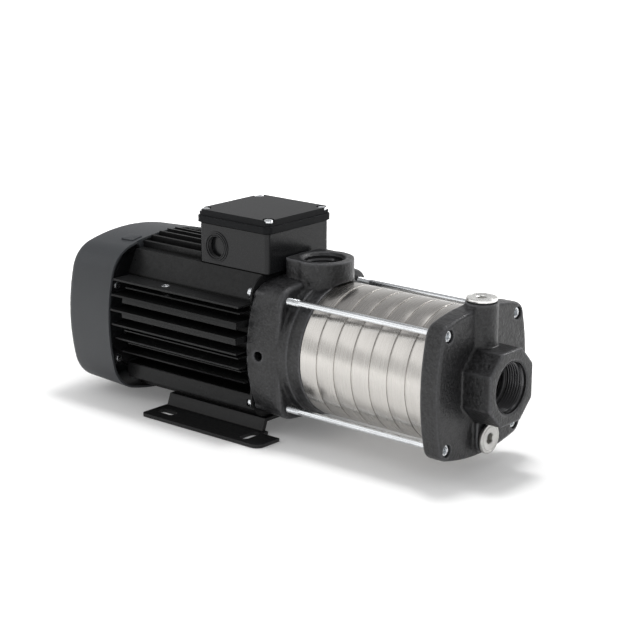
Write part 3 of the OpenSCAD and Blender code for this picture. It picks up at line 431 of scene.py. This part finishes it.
def coat_finish(name, base, grain, depth, roughness, glint_speck=0.0, edge=1.9, gloss=0.5, mottle=0.1):
    """A coat: slow cloudiness in its colour, a skin of grain, and convex edges painted lighter, partly for a
    coat worn thin there and partly as painted edge highlights. Edge is how many times lighter those are, mottle
    how far grains differ, speck how bright the added dots are that paint in small glints."""
    f = Finish(name)
    f.set(specular_ior_level=gloss)
    cloud = f.tint(f.noise(28, 4), "Fac", times(base, 0.86), times(base, 1.16))
    grains = f.tint(f.noise(grain * 0.8, 2), "Fac", (1 - mottle,) * 3, (1 + mottle,) * 3, 0.36, 0.64)
    # Convex edges made lighter: partly a coat worn thin, partly painted edge highlights
    wear_and_highlight_edges = f.tint(f.noise(grain, 4, 0.62), "Fac", times(base, edge * 0.7), times(base, edge * 1.3))
    last = f.add("ShaderNodeMix", data_type="RGBA", blend_type="MIX")
    f.spread(f.add("ShaderNodeNewGeometry"), "Pointiness", 0.0, 0.9, last, "Factor", 0.504, 0.535)
    f.join(f.product(cloud, grains), "Result", last, "A")
    f.join(wear_and_highlight_edges, "Color", last, "B")
    # Lighter dots added to the colour: painted glints on the grainy coat
    if glint_speck:
        glint_dots = f.add("ShaderNodeTexVoronoi", {"Scale": grain * 0.8, "Randomness": 1.0})
        f.join(f.place, "Object", glint_dots, "Vector")
        light = f.add("ShaderNodeMix", {"B": (*times(base, 2.2), 1)}, data_type="RGBA", blend_type="ADD")
        f.spread(glint_dots, "Distance", glint_speck, 0.0, light, "Factor", 0.0, 0.22)
        f.join(last, "Result", light, "A")
        last = light
    f.join(last, "Result", f.shader, "Base Color")
    f.spread(f.noise(grain * 0.4, 3), "Fac", roughness - 0.08, roughness + 0.1, f.shader, "Roughness")
    f.bump([(f.noise(grain * 0.22, 2), "Fac", 0.35, depth * 2.5),
            (f.noise(grain, 1.5, 0.5), "Fac", 0.8, depth)])


def metal_finish(name, base, roughness, grain=900, depth=0.02, stretch=None, spread=0.08):
    """Bare metal: fine drawn or turned lines in its roughness and skin, and a slow change in its tone."""
    f = Finish(name)
    f.set(metallic=1.0)
    lines = f.noise(grain, 4, 0.6, stretch)
    tone = f.tint(f.noise(30, 3), "Fac", times(base, 0.9), times(base, 1.08))
    shade = f.tint(lines, "Fac", (1 - spread * 2,) * 3, (1.0,) * 3)
    f.join(f.product(tone, shade), "Result", f.shader, "Base Color")
    f.spread(lines, "Fac", roughness - spread, roughness + spread, f.shader, "Roughness")
    f.bump([(lines, "Fac", 0.5, depth)])


def brushed_finish(name, base, roughness):
    """Stainless sheet brushed round the shaft: fine lines across X, a long highlight along X and smears."""
    f = Finish(name)
    f.set(metallic=1.0, anisotropic=0.35)
    lines = f.noise(1.0, 5, 0.65, (2600, 10, 10))
    wide = f.noise(1.0, 3, 0.5, (520, 5, 5))
    tone = f.tint(lines, "Fac", times(base, 0.94), times(base, 1.05))
    shade = f.tint(wide, "Fac", (0.96, 0.96, 0.955), (1, 1, 1))
    f.join(f.product(tone, shade), "Result", f.shader, "Base Color")
    both = f.add("ShaderNodeMath", operation="ADD")
    f.spread(lines, "Fac", -0.05, 0.05, both, 0)
    f.spread(f.noise(22, 4), "Fac", roughness - 0.03, roughness + 0.05, both, 1)
    f.join(both, "Value", f.shader, "Roughness")
    tangent = f.add("ShaderNodeTangent", direction_type="RADIAL", axis="X")
    f.join(tangent, "Tangent", f.shader, "Tangent")
    f.bump([(wide, "Fac", 0.25, 0.02), (lines, "Fac", 0.35, 0.01)])


def moulded_finish(name, base, roughness, grain=1400, depth=0.02, gloss=0.5, metallic=0.0):
    """Moulded plastic or an even coat: one colour with a faint cloud, and a fine spark-eroded grain."""
    f = Finish(name)
    f.set(specular_ior_level=gloss, metallic=metallic)
    tone = f.tint(f.noise(16, 3), "Fac", times(base, 0.94), times(base, 1.07))
    f.join(tone, "Color", f.shader, "Base Color")
    skin = f.noise(grain, 3, 0.5)
    f.spread(skin, "Fac", roughness - 0.05, roughness + 0.06, f.shader, "Roughness")
    f.bump([(f.noise(60, 2), "Fac", 0.12, 0.15), (skin, "Fac", 0.6, depth)])


def wound_finish(name, base):
    """Varnished copper wire: round strands side by side, slightly uneven."""
    f = Finish(name)
    f.set(metallic=0.7)
    strand = f.add("ShaderNodeTexWave", {"Scale": 260, "Distortion": 2.5, "Detail": 2.0}, wave_type="BANDS",
                   bands_direction="X")
    f.join(f.place, "Object", strand, "Vector")
    tone = f.tint(strand, "Fac", times(base, 0.45), times(base, 1.1), 0.1, 0.8)
    f.join(tone, "Color", f.shader, "Base Color")
    f.spread(f.noise(300), "Fac", 0.28, 0.45, f.shader, "Roughness")
    f.bump([(strand, "Fac", 0.8, 0.25)])


def around(node):
    """A node's low and high corners and its middle, as arrays."""
    low, high = (np.array(corner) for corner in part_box(node))
    return low, high, (low + high) / 2


def motor_bolt_places():
    """The four places of the motor bolts, whose heads fill the corners of their node's box."""
    low, high, mid = around("motor_bolts")
    reach = (high - low) / 2 - 5 * MM
    return [(0, mid[1] + y * reach[1], mid[2] + z * reach[2]) for y in (-1, 1) for z in (-1, 1)]


class PUMP_OT_stage(bpy.types.Operator):
    """Sets the camera, the pale floor, the white surroundings and the soft lamps"""
    bl_idname = "pump.stage"
    bl_label = "Stage"

    def execute(self, context):
        scene = context.scene
        scene.view_settings.view_transform = "Standard"
        back = Vector((math.sin(VIEW_TURN) * math.cos(VIEW_RISE), -math.cos(VIEW_TURN) * math.cos(VIEW_RISE),
                       math.sin(VIEW_RISE)))
        right = Vector((math.cos(VIEW_TURN), math.sin(VIEW_TURN), 0))
        up = right.cross(-back)
        side = right * math.cos(VIEW_ROLL) + up * math.sin(VIEW_ROLL)
        top = up * math.cos(VIEW_ROLL) - right * math.sin(VIEW_ROLL)
        data = bpy.data.cameras.new("camera")
        data.lens, data.sensor_width = VIEW_LENS, VIEW_SENSOR
        data.shift_x, data.shift_y = VIEW_SHIFT
        data.clip_start, data.clip_end = 0.05, 20
        camera = bpy.data.objects.new("camera", data)
        camera.matrix_world = Matrix.Translation(VIEW_TARGET + back * VIEW_DISTANCE) @ Matrix(
            (side, top, back)).transposed().to_4x4()
        scene.collection.objects.link(camera)
        scene.camera = camera
        self.surroundings(scene)
        self.floor(scene)
        for lamp in LAMPS:
            self.lamp(scene, *lamp)
        return {"FINISHED"}

    def surroundings(self, scene):
        """A world that is white to the camera, darker upwards in mirrors, and dim and even elsewhere."""
        scene.world = bpy.data.worlds.new("surroundings")
        t = Tree(scene.world)
        path, height = t.add("ShaderNodeLightPath"), t.add("ShaderNodeSeparateXYZ")
        t.join(t.add("ShaderNodeTexCoord"), "Generated", height, "Vector")
        mirrored = t.add("ShaderNodeBackground", {"Strength": MIRROR_SKY})
        t.join(t.tint(height, "Z", (0.82,) * 3, (0.40, 0.40, 0.405), 0.22, 0.70), "Color", mirrored, "Color")
        matt = t.add("ShaderNodeBackground", {"Color": WHITE, "Strength": MATT_SKY})
        seen = t.add("ShaderNodeBackground", {"Color": WHITE, "Strength": 1.0})
        light, whole = t.add("ShaderNodeMixShader"), t.add("ShaderNodeMixShader")
        t.join(path, "Is Glossy Ray", light, "Fac")
        t.join(matt, "Background", light, 1)
        t.join(mirrored, "Background", light, 2)
        t.join(t.larger(path, "Is Camera Ray", "Is Transmission Ray"), "Value", whole, "Fac")
        t.join(light, "Shader", whole, 1)
        t.join(seen, "Background", whole, 2)
        t.join(whole, "Shader", t.add("ShaderNodeOutputWorld"), "Surface")

    def floor(self, scene):
        """A pale matt floor that adds a little of its own white where the camera or a mirror sees it, and
        more of it away from the pump."""
        f = Finish("floor_white")
        f.set(base_color=(0.82, 0.82, 0.82, 1), emission_color=WHITE)
        f.spread(f.noise(3, 2), "Fac", 0.85, 0.95, f.shader, "Roughness")
        slim = f.add("ShaderNodeMapping", {"Scale": (0.45, 1, 1)})
        f.join(f.place, "Object", slim, "Vector")
        away = f.add("ShaderNodeVectorMath", operation="LENGTH")
        f.join(slim, "Vector", away, "Vector")
        glow = f.add("ShaderNodeMath", operation="MULTIPLY")
        f.join(f.larger(f.add("ShaderNodeLightPath"), "Is Camera Ray", "Is Glossy Ray"), "Value", glow, 0)
        f.spread(away, "Value", 0.12, 0.8, glow, 1, 0.08, 0.6)
        f.join(glow, "Value", f.shader, "Emission Strength")
        half, cells, below = 6, 12, 0.4 * MM
        reach = np.linspace(-half, half, cells + 1)
        x, y = np.meshgrid(reach, reach, indexing="ij")
        grid = np.stack([x, y, np.full_like(x, -below)], -1)
        i, j = np.meshgrid(np.arange(cells), np.arange(cells), indexing="ij")
        near = i * (cells + 1) + j
        far = near + cells + 1
        quads = np.stack([near, far, far + 1, near + 1], -1).reshape(-1, 4)
        mesh = mesh_of("floor", grid.reshape(-1, 3), quads)
        mesh.materials.append(f.material)
        made = bpy.data.objects.new("floor", mesh)
        scene.collection.objects.link(made)

    def lamp(self, scene, name, spot, aim, width, height, watts, mirrored, matt):
        """One soft oblong lamp, turned to face a point."""
        data = bpy.data.lights.new(name, "AREA")
        data.shape, data.size, data.size_y, data.energy = "RECTANGLE", width, height, watts
        made = bpy.data.objects.new(name, data)
        made.visible_glossy, made.visible_diffuse = mirrored, matt
        back = Vector(spot) - Vector(aim)
        made.matrix_world = Matrix.Translation(spot) @ back.to_track_quat("Z", "Y").to_matrix().to_4x4()
        scene.collection.objects.link(made)


class PUMP_OT_finishes(bpy.types.Operator):
    """Makes every finish and puts each on the solids of its slot"""
    bl_idname = "pump.finishes"
    bl_label = "Finishes"

    def execute(self, context):
        c = {key: tuple(getattr(context.scene.pump_colours, key)) for key in PumpColours.__annotations__}
        coat_finish("cast_black", c["casting"], 520, 0.6, 0.37, glint_speck=1.2, edge=5.2, gloss=0.45, mottle=0.55)
        coat_finish("motor_paint", c["motor"], 700, 0.05, 0.34, edge=2.0, gloss=0.2)
        coat_finish("foot_paint", c["foot"], 800, 0.03, 0.38, edge=2.0, gloss=0.3)
        moulded_finish("cover_plastic", c["cover"], 0.50)
        moulded_finish("fan_plastic", times(c["cover"], 0.5), 0.52)
        moulded_finish("box_shell", c["box"], 0.24, gloss=0.25)
        moulded_finish("lid_shell", times(c["box"], 1.3), 0.34, gloss=0.05)
        moulded_finish("rubber_black", (0.012, 0.012, 0.012), 0.75, 900, 0.03)
        moulded_finish("ring_plastic", (0.03, 0.027, 0.024), 0.5)
        moulded_finish("seal_faces", (0.55, 0.53, 0.50), 0.35, 1800, 0.01)
        brushed_finish("sleeve_steel", c["steel"], 0.25)
        metal_finish("impeller_steel", times(c["steel"], 1.05), 0.32, 700)
        metal_finish("zinc_steel", c["zinc"], 0.26, 1100, 0.015)
        metal_finish("plug_steel", c["plug"], 0.30, 1300, 0.012)
        # A darker copy of the plug steel: painted shade on the drain plug, which mirrors the shaded floor
        # beside the pump
        metal_finish("drain_steel", times(c["plug"], 0.58), 0.34, 1300, 0.012)
        metal_finish("shaft_steel", (0.55, 0.55, 0.56), 0.24, 1.0, 0.01, (2400, 12, 12))
        metal_finish("core_steel", (0.30, 0.31, 0.33), 0.45, 1.0, 0.06, (1900, 6, 6), 0.12)
        metal_finish("brass_parts", (0.72, 0.50, 0.22), 0.30, 1000)
        moulded_finish("port_coat", (0.075, 0.075, 0.078), 0.19, 1500, 0.02, metallic=0.75)
        # Near-black for the painted shadow line along the terminal box's foot
        moulded_finish("gap_black", (0.0012, 0.0012, 0.0012), 0.8, gloss=0.05)
        wound_finish("copper", (0.55, 0.24, 0.08))
        for part in frame["record"]["subparts"]:
            solid = frame["nodes"][part["node"]].data
            solid.materials.clear()
            solid.materials.append(bpy.data.materials[part["material_slot"] + Finish.ENDING])
        return {"FINISHED"}


class PUMP_OT_castings(bpy.types.Operator):
    """Gives the two pump castings their rounded skins"""
    bl_idname = "pump.castings"
    bl_label = "Pump castings"

    def execute(self, context):
        cell = context.scene.pump_sizes.casting_cell
        for side, share, extra in (("inlet", 0.9, ()), ("discharge", 1.05, self.bolt_bosses())):
            name, node = side + "_casting", side + "_housing"
            # Even cells over the CAD form, relaxed so that edges and inner corners turn round
            skin = worked_copy(name, node, [
                ("REMESH", {"mode": "VOXEL", "voxel_size": cell * share, "adaptivity": 0.0}),
                ("SMOOTH", {"factor": 0.5, "iterations": 4})], extra=extra)
            place(name, skin, "cast_black", "pump", [node], 60)
        return {"FINISHED"}

    def bolt_bosses(self):
        """Short turned bosses that close the motor bolts' holes towards the rounded corners of the stool."""
        start, end = around("discharge_housing")[0][0] + 0.3 * MM, around("motor_bolts")[1][0] - 0.6 * MM
        r = 4.2 * MM
        profile = [(start, 0), (start, r), (end, r), (end, 0)]
        return [closed(turned(profile, centre, columns=32), wrap_rows=False)
                for centre in motor_bolt_places()]


class PUMP_OT_bands(bpy.types.Operator):
    """Turns the stage bands with their rolled edges and inner walls"""
    bl_idname = "pump.bands"
    bl_label = "Stage bands"

    def execute(self, context):
        s = context.scene.pump_sizes
        ring_low, ring_high, _ = around("neck_rings")
        hole = (ring_high[1] - ring_low[1]) / 2 + 0.05 * MM
        for n in range(1, STAGES + 1):
            low, high, _ = around(f"stage_chamber_{n}")
            r, start, end = (high[1] - low[1]) / 2, low[0], high[0]
            edge, back = end - s.groove, start + 1.5 * MM
            bottom, inner = r - s.band_wall / 2, r - s.band_wall
            corners = [(start, hole), (start, r), (edge, r), (edge, bottom), (end, bottom), (end, inner),
                       (back, inner), (back, hole)]
            radii = [0.2 * MM, s.band_edge, s.band_edge, 0.1 * MM, 0.1 * MM, 0.1 * MM, 0.8 * MM, 0.2 * MM]
            band = turned(soften(corners, radii), (0, 0, AXIS_Z), columns=192)
            add_piece(f"band_{n}", [closed(band)], "sleeve_steel", "pump", [f"stage_chamber_{n}"], 50)
        return {"FINISHED"}


class PUMP_OT_stays(bpy.types.Operator):
    """Makes the four stay bolts with their threads and socket heads"""
    bl_idname = "pump.stays"
    bl_label = "Stay bolts"

    def execute(self, context):
        s = context.scene.pump_sizes
        low, high, mid = around("stay_bolts")
        off, face, wide = (high[1] - low[1]) / 2 - s.stay_head, high[0], s.stay_head / MM
        head = [(6, 0, 0), (6, wide, 0), (0.7, wide, 0), (0.25, wide * 0.97, 0), (0, wide * 0.9, 0),
                (0, 3.2, 0), (0.15, 2.9, 0.5), (0.3, 2.5, 1), (3, 2.5, 1), (3.6, 0, 0)]
        flange = around("discharge_housing")[0][0] + 33 * MM
        thread_end = flange + 12.5 * MM
        start, end = thread_end - 2 * MM, face - 5 * MM  # inside the thread and inside the head
        shank = [(start, 0), (start, s.stay_shank), (end, s.stay_shank), (end, 0)]
        solids = []
        for y in (-off, off):
            for z in (mid[2] - off, mid[2] + off):
                centre = (0, y, z)
                thread = threaded(low[0], thread_end, s.stay_thread - 0.45 * MM, s.stay_thread, s.stay_pitch,
                                  0.5 * MM, centre, columns=40, per_turn=8)
                solids += [socketed(head, face, -1, centre, turn=0.3),
                           closed(turned(shank, centre, columns=32), wrap_rows=False), closed(thread)]
        add_piece("stay_rods", solids, "zinc_steel", "pump", ["stay_bolts"], 40)
        return {"FINISHED"}


class PUMP_OT_ports(bpy.types.Operator):
    """Cuts the pipe threads of the suction and discharge ports"""
    bl_idname = "pump.ports"
    bl_label = "Port threads"

    def execute(self, context):
        s = context.scene.pump_sizes
        for mount in frame["record"]["mounts"]:
            if mount["kind"] != "threaded_hole":
                continue
            r = mount["dims"]["r_mm"] * MM
            length = mount["dims"]["length_mm"] * MM
            spot = np.array(mount["pos_m"])
            axis = "X" if mount["axis"][0] > 0.5 else "Z"
            mouth = length / 2 - 0.1 * MM
            start = mouth - s.port_mouth
            sleeve = threaded(0.2 * MM - length / 2, start, r - 0.05 * MM, r - s.port_depth, s.port_pitch,
                              r + 0.3 * MM, spot, axis, 160, 14)
            lead = soften([(start - 0.5 * MM, r + 0.2 * MM), (start - 0.5 * MM, r - s.port_depth + 0.2 * MM),
                           (start + 1.1 * MM, r - 0.1 * MM), (mouth, r - 0.1 * MM), (mouth, r + 0.2 * MM)],
                          [0, 0.1 * MM, 0.6 * MM, 0, 0])
            solids = [closed(sleeve), closed(turned(lead, spot, axis, 160))]
            add_piece(mount["name"] + "_thread", solids, "port_coat", "pump", sharp=60)
        return {"FINISHED"}


class PUMP_OT_plugs(bpy.types.Operator):
    """Turns the priming and drain plugs with their hexagon sockets"""
    bl_idname = "pump.plugs"
    bl_label = "Plugs"

    def execute(self, context):
        across = context.scene.pump_sizes.plug_hex / 2 / MM
        # The drain plug takes the darker copy of the plug steel, as painted shade
        for node, body, axis, finish in (("priming_plug", "priming_stopper", "Z", "plug_steel"),
                                         ("drain_plug", "drain_stopper", "X", "drain_steel")):
            low, high, centre = around(node)
            k = "XYZ".index(axis)
            centre[k] = 0
            length = (high[k] - low[k]) / MM
            rows = np.array([
                (length, 0, 0), (length, 7.4, 0), (length - 0.9, 8.2, 0), (2.8, 8.25, 0), (2.8, 11.3, 0),
                (2.5, 11.65, 0), (2.1, 11.8, 0), (0.8, 11.8, 0), (0.4, 11.68, 0), (0.1, 11.35, 0),
                (0, 10.9, 0), (0, 9.9, 0), (0.25, 9.7, 0), (0.25, 9.3, 0), (0, 9.1, 0), (0, 7.4, 0),
                (0.1, 7.2, 0), (0.1, 5.3, 0), (0.35, 4.75, 0), (0.8, across + 0.12, 1), (1, across, 1),
                (5, across, 1), (6.1, 0, 0)])
            # The head's rows follow the radius of the CAD head, and the thread's and the socket's don't
            rows[rows[:, 1] > 8.3, 1] *= (high[1] - low[1]) / 2 / (11.8 * MM)
            plug = socketed(rows, high[k], -1, centre, axis, 96, 0.35)
            made = add_piece(node + "_turned", [plug], finish, body, [node], 28)
        return {"FINISHED"}


class PUMP_OT_motor(bpy.types.Operator):
    """Rounds the finned motor housing and adds the rings round its two shelf holes"""
    bl_idname = "pump.motor"
    bl_label = "Motor housing"

    def execute(self, context):
        edged_piece("motor_shell", "motor_housing", context.scene.pump_sizes.edge_round * 0.7, "motor_paint")
        ring = soften([(-1.0, 2.5), (0.1, 2.5), (0.3, 3.0), (0.3, 3.5), (0.1, 3.9), (-0.6, 4.0)],
                      [0, 0.2, 0.2, 0.2, 0.2, 0], 3) * MM
        hole_x, hole_y, shelf = -104 * MM, 58.5 * MM, AXIS_Z + 40.2 * MM
        solids = [closed(turned(ring, (hole_x, y, shelf), "Z", 40)) for y in (-hole_y, hole_y)]
        add_piece("shelf_hole_rings", solids, "zinc_steel", "pump")
        return {"FINISHED"}


class PUMP_OT_cover(bpy.types.Operator):
    """Lofts the fan cover with its round back, grille, lugs and snap clip, and rings the fan inside it"""
    bl_idname = "pump.cover"
    bl_label = "Fan cover"

    def execute(self, context):
        s = context.scene.pump_sizes
        low, high, mid = around("fan_cover")
        half = (high - low) / 2
        solids = [self.shell(s, low[0], high[0], mid[2], half[1], half[2]),
                  *self.grille(low[0], mid[2], s.cover_wall), *self.lugs(high[0]),
                  *self.clip(s, high[0], high[2])]
        add_piece("fan_cover_shell", solids, "cover_plastic", "pump", ["fan_cover"], 45)
        self.fan_rim()
        return {"FINISHED"}

    def lugs(self, rim):
        """Four blocks behind the rim that take the cover's screws."""
        middle, off, half = around("fan_cover_screws")[2][2], 33 * MM, 4.5 * MM
        return [soft_block((rim - 12 * MM, left, z - half), (rim - 2 * MM, right, z + half), 0.8 * MM)
                for z in (middle - off, middle + off)
                for left, right in ((-70.2 * MM, -60 * MM), (60 * MM, 70.2 * MM))]

    def clip(self, s, rim, top):
        """A snap tab on the cover's top with its rib under the rim: both are made upright over the top's own
        centre line and then turned about the centre of the circle on which the top bulges."""
        tab = soft_block((rim - 20 * MM, -6 * MM, top - 2.2 * MM), (rim - 5 * MM, 6 * MM, top + 0.7 * MM),
                         0.5 * MM)
        corners = soften([(-5.5, 0.2), (5.5, 0.2), (1.2, -10.5), (-1.2, -10.5)], [0.6, 0.6, 0.8, 0.8]) * MM
        rows = [np.insert(corners * shrink + [0, top], 0, rim + along * MM, axis=1)
                for along, shrink in ((-2.6, 0), (-2.6, 1), (-0.1, 1), (-0.1, 0))]
        rib = closed(np.stack(rows), wrap_rows=False)
        lean, centre = math.radians(10.3), [0, 0, top - s.cover_top]
        return [(turn_x(points, lean, centre), quads) for points, quads in (tab, rib)]

    def fan_rim(self):
        """A rounded ring that joins the tips of the fan's blades."""
        low, high, mid = around("fan")
        r, width = (high[1] - low[1]) / 2, 3 * MM
        inner, outer = r - 1 * MM, r + 3.2 * MM
        section = soften([(0, inner), (0, outer), (width, outer), (width, inner)], [0.8 * MM] * 4)
        ring = turned(section + [mid[0] - width / 2, 0], (0, 0, mid[2]), columns=128)
        add_piece("fan_tip_ring", [closed(ring)], "fan_plastic", "rotor")

    def shell(self, s, back, rim, z, half_y, half_z):
        """The outline is drawn in by the draft along X and then by a quarter circle; across the back it turns
        into the grille's circle, and the same rows, drawn in by the wall, come back inside."""
        shares = (0.3, 0.6, 0.85, 0.97, 1.0)

        def rows(inset):
            end, bend = back + inset, s.cover_round - inset
            straight = np.linspace(rim, end + bend, 8)
            draft = s.cover_draft * (rim - straight) / (rim - end - bend)
            turn = np.linspace(0, math.pi / 2, 12)[1:]
            pulls = np.concatenate([draft, s.cover_draft + bend * (1 - np.cos(turn))]) + inset
            loops = [barrel(half_y, half_z, s.cover_side, s.cover_top, s.cover_corner, pull)
                     for pull in pulls]
            flat = loops[-1]
            ring = flat / np.linalg.norm(flat, axis=1, keepdims=True) * GRILLE_EDGE
            loops += [flat * (1 - share) + ring * share for share in shares]
            x = np.concatenate([straight, end + bend * (1 - np.sin(turn)), np.full(len(shares), end)])
            return np.stack([np.insert(loop, 0, at, axis=1) for loop, at in zip(loops, x)])

        outer, inner = rows(0.0), rows(s.cover_wall)
        outer[0, :, 0] -= 0.35 * MM
        lip = (outer[0] + inner[0]) / 2
        lip[:, 0] = rim
        mouth = outer[-1] * [1, 0.992, 0.992]
        mouth[:, 0] = back + s.cover_wall / 2
        grid = np.concatenate([lip[None], outer, mouth[None], inner[::-1]])
        return closed(grid + [0, 0, z])

    def grille(self, back, z, wall):
        """Four rings of rounded section, a hub and eight spokes, all round the shaft."""
        hub_r, step, width = 14 * MM, 8 * MM, 3 * MM
        solids = []
        for n in range(1, 5):
            r = hub_r + n * step
            section = soften([(0, r - width), (0, r), (wall, r), (wall, r - width)], [0.7 * MM] * 4)
            solids.append(closed(turned(section + [back, 0], (0, 0, z), columns=96)))
        hub = np.array([(0, 0), (0, hub_r - 1.4 * MM), (0.3 * MM, hub_r - 0.4 * MM), (0.8 * MM, hub_r),
                        (wall, hub_r), (wall, 0)])
        solids.append(closed(turned(hub + [back, 0], (0, 0, z), columns=96), wrap_rows=False))
        spoke, quads = soft_block((back + 0.05 * MM, -width / 2, hub_r - 1 * MM),
                                  (back + wall - 0.05 * MM, width / 2, GRILLE_EDGE + 0.8 * MM), 0.5 * MM)
        return solids + [(turn_x(spoke, n * math.pi / 4, 0) + [0, 0, z], quads) for n in range(8)]


class PUMP_OT_box(bpy.types.Operator):
    """Rounds the terminal box and its lid, and makes the cable entry, a painted shadow line along the box's
    foot and the lid screws
    """
    bl_idname = "pump.box"
    bl_label = "Terminal box"

    def execute(self, context):
        edge = context.scene.pump_sizes.edge_round
        edged_piece("terminal_shell", "terminal_box", edge, "box_shell")
        edged_piece("lid_shell_piece", "terminal_lid", edge * 1.3, "lid_shell", "lid", 3)
        self.entry()
        self.seal()
        low, high, _ = around("lid_screws")
        r = 4 * MM
        solids = [self.screw(x, y, high[2], low[2], r)
                  for x in (low[0] + r, high[0] - r) for y in (low[1] + r, high[1] - r)]
        add_piece("lid_screw_set", solids, "zinc_steel", "lid", ["lid_screws"], 32)
        return {"FINISHED"}

    def entry(self):
        """A cable entry: a round lip, a short thread and the closed knock-out at its end. The points are in
        millimetres behind the entry's face and outside its bore."""
        low, high, mid = around("entry_plug")
        face, r, centre = low[1], (high[0] - low[0]) / 2, (mid[0], 0, mid[2])
        lip = soften([(0.3, 0.4), (-0.7, 0.6), (-0.7, 2.0), (0.3, 2.2)], [0, 0.5, 0.5, 0])
        floor = np.array([(4.6, -r / MM), (4.6, -0.5), (5.6, -0.5), (5.6, -r / MM)])
        ridge = soften([(-0.2, -0.2), (-0.2, -1.0), (0.5, -1.4), (0.8, -0.2)], [0.1, 0.3, 0.3, 0.1])
        lip, floor, ridge = (turned(points * MM + [face, r], centre, "Y") for points in (lip, floor, ridge))
        thread = threaded(face + 0.9 * MM, face + 4.8 * MM, r - 0.5 * MM, r - 1.3 * MM, 1.5 * MM,
                          r - 0.15 * MM, centre, "Y", 96, 10)
        solids = [closed(lip), closed(floor, wrap_rows=False), closed(ridge), closed(thread)]
        add_piece("entry_cup", solids, "box_shell", "pump", ["entry_plug"], 50)

    def seal(self):
        """A near-black band along the foot of the box, as painted shadow in the joint between box and pad: the
        box's outline, drawn out by a hair.
        """
        low, high, mid = around("terminal_box")
        half_x, corner = (high[0] - low[0]) / 2, 4
        rows = []
        for out, up in ((0.16, 0.0), (0.26, 0.5), (0.16, 1.0), (-0.8, 1.0), (-0.8, 0.0)):
            loop = outline(half_x + out * MM, high[1] + out * MM, (corner + out) * MM)
            rows.append(np.insert(loop + [mid[0], 0], 2, low[2] + (up + 0.03) * MM, axis=1))
        add_piece("box_seal_edge", [closed(np.stack(rows))], "gap_black", "pump")

    def screw(self, x, y, top, bottom, r):
        """A domed head on a shank. The dome falls off with the square of the radius; the cross sinks where
        either of the two directions across it is within half a slot's width of the middle."""
        ring = np.concatenate([np.linspace(0, 0.72, 15), np.linspace(0.76, 1, 8)]) * r
        angle = np.linspace(0, 2 * math.pi, 72, endpoint=False)
        radius = np.broadcast_to(ring[:, None], (len(ring), 72))
        u, v = radius * np.cos(angle), radius * np.sin(angle)
        dome = top - 0.9 * MM * (radius / r) ** 2 - 0.35 * MM * np.clip((radius / r - 0.85) / 0.15, 0, 1) ** 2
        narrow, wide = np.minimum(abs(u), abs(v)), np.maximum(abs(u), abs(v))
        sunk = (np.clip((0.62 * MM - narrow) / (0.15 * MM), 0, 1)
                * np.clip((2.5 * MM - wide) / (0.5 * MM), 0, 1))
        cap = np.stack([u + x, v + y, dome - 1.5 * MM * sunk], -1)
        sides = turned([(top - 2.6 * MM, r), (top - 2.6 * MM, 2 * MM), (bottom, 2 * MM), (bottom, 0)],
                       (x, y, 0), "Z", 72)
        return closed(np.concatenate([cap, sides]), wrap_rows=False)


class PUMP_OT_foot(bpy.types.Operator):
    """Rounds the edges of the sheet foot"""
    bl_idname = "pump.foot"
    bl_label = "Sheet foot"

    def execute(self, context):
        edged_piece("foot_sheet", "base_plate", context.scene.pump_sizes.edge_round, "foot_paint")
        return {"FINISHED"}


class PUMP_OT_fasteners(bpy.types.Operator):
    """Turns the motor bolts' socket heads and rounds the fan cover's screws"""
    bl_idname = "pump.fasteners"
    bl_label = "Fasteners"

    def execute(self, context):
        edged_piece("fan_cover_screws_round", "fan_cover_screws", 0.4 * MM, "zinc_steel", sharp=35)
        rows = [(6.5, 0, 0), (6.5, 3, 0), (4.5, 3, 0), (4.5, 4.8, 0), (4.3, 5, 0), (0.7, 5, 0), (0.2, 4.8, 0),
                (0, 4.4, 0), (0, 3.2, 0), (0.3, 2.5, 1), (3, 2.5, 1), (3.6, 0, 1)]
        face = around("motor_bolts")[0][0]
        solids = [socketed(rows, face, 1, centre) for centre in motor_bolt_places()]
        add_piece("motor_bolts_turned", solids, "zinc_steel", "pump", ["motor_bolts"], 40)
        return {"FINISHED"}


OPERATORS = (PUMP_OT_stage, PUMP_OT_finishes, PUMP_OT_castings, PUMP_OT_bands, PUMP_OT_stays, PUMP_OT_ports,
             PUMP_OT_plugs, PUMP_OT_motor, PUMP_OT_cover, PUMP_OT_box, PUMP_OT_foot, PUMP_OT_fasteners)


class PUMP_PT_panel(bpy.types.Panel):
    """Lists the pump's pieces, sizes and colours"""
    bl_idname = "PUMP_PT_panel"
    bl_label = "Multistage pump"
    bl_space_type = "VIEW_3D"
    bl_region_type = "UI"
    bl_category = "Pump"

    def draw(self, context):
        for group in (context.scene.pump_sizes, context.scene.pump_colours):
            column = self.layout.column()
            for key in type(group).__annotations__:
                column.prop(group, key)
        for operator in OPERATORS:
            self.layout.operator(operator.bl_idname)


def register():
    for kind in (PumpSizes, PumpColours, *OPERATORS, PUMP_PT_panel):
        bpy.utils.register_class(kind)
    bpy.types.Scene.pump_sizes = bpy.props.PointerProperty(type=PumpSizes)
    bpy.types.Scene.pump_colours = bpy.props.PointerProperty(type=PumpColours)


def unregister():
    del bpy.types.Scene.pump_colours
    del bpy.types.Scene.pump_sizes
    for kind in (PUMP_PT_panel, *reversed(OPERATORS), PumpColours, PumpSizes):
        bpy.utils.unregister_class(kind)


def main():
    register()
    for operator in OPERATORS:
        group, name = operator.bl_idname.split(".")
        getattr(getattr(bpy.ops, group), name)()


if __name__ == "__main__":
    main()
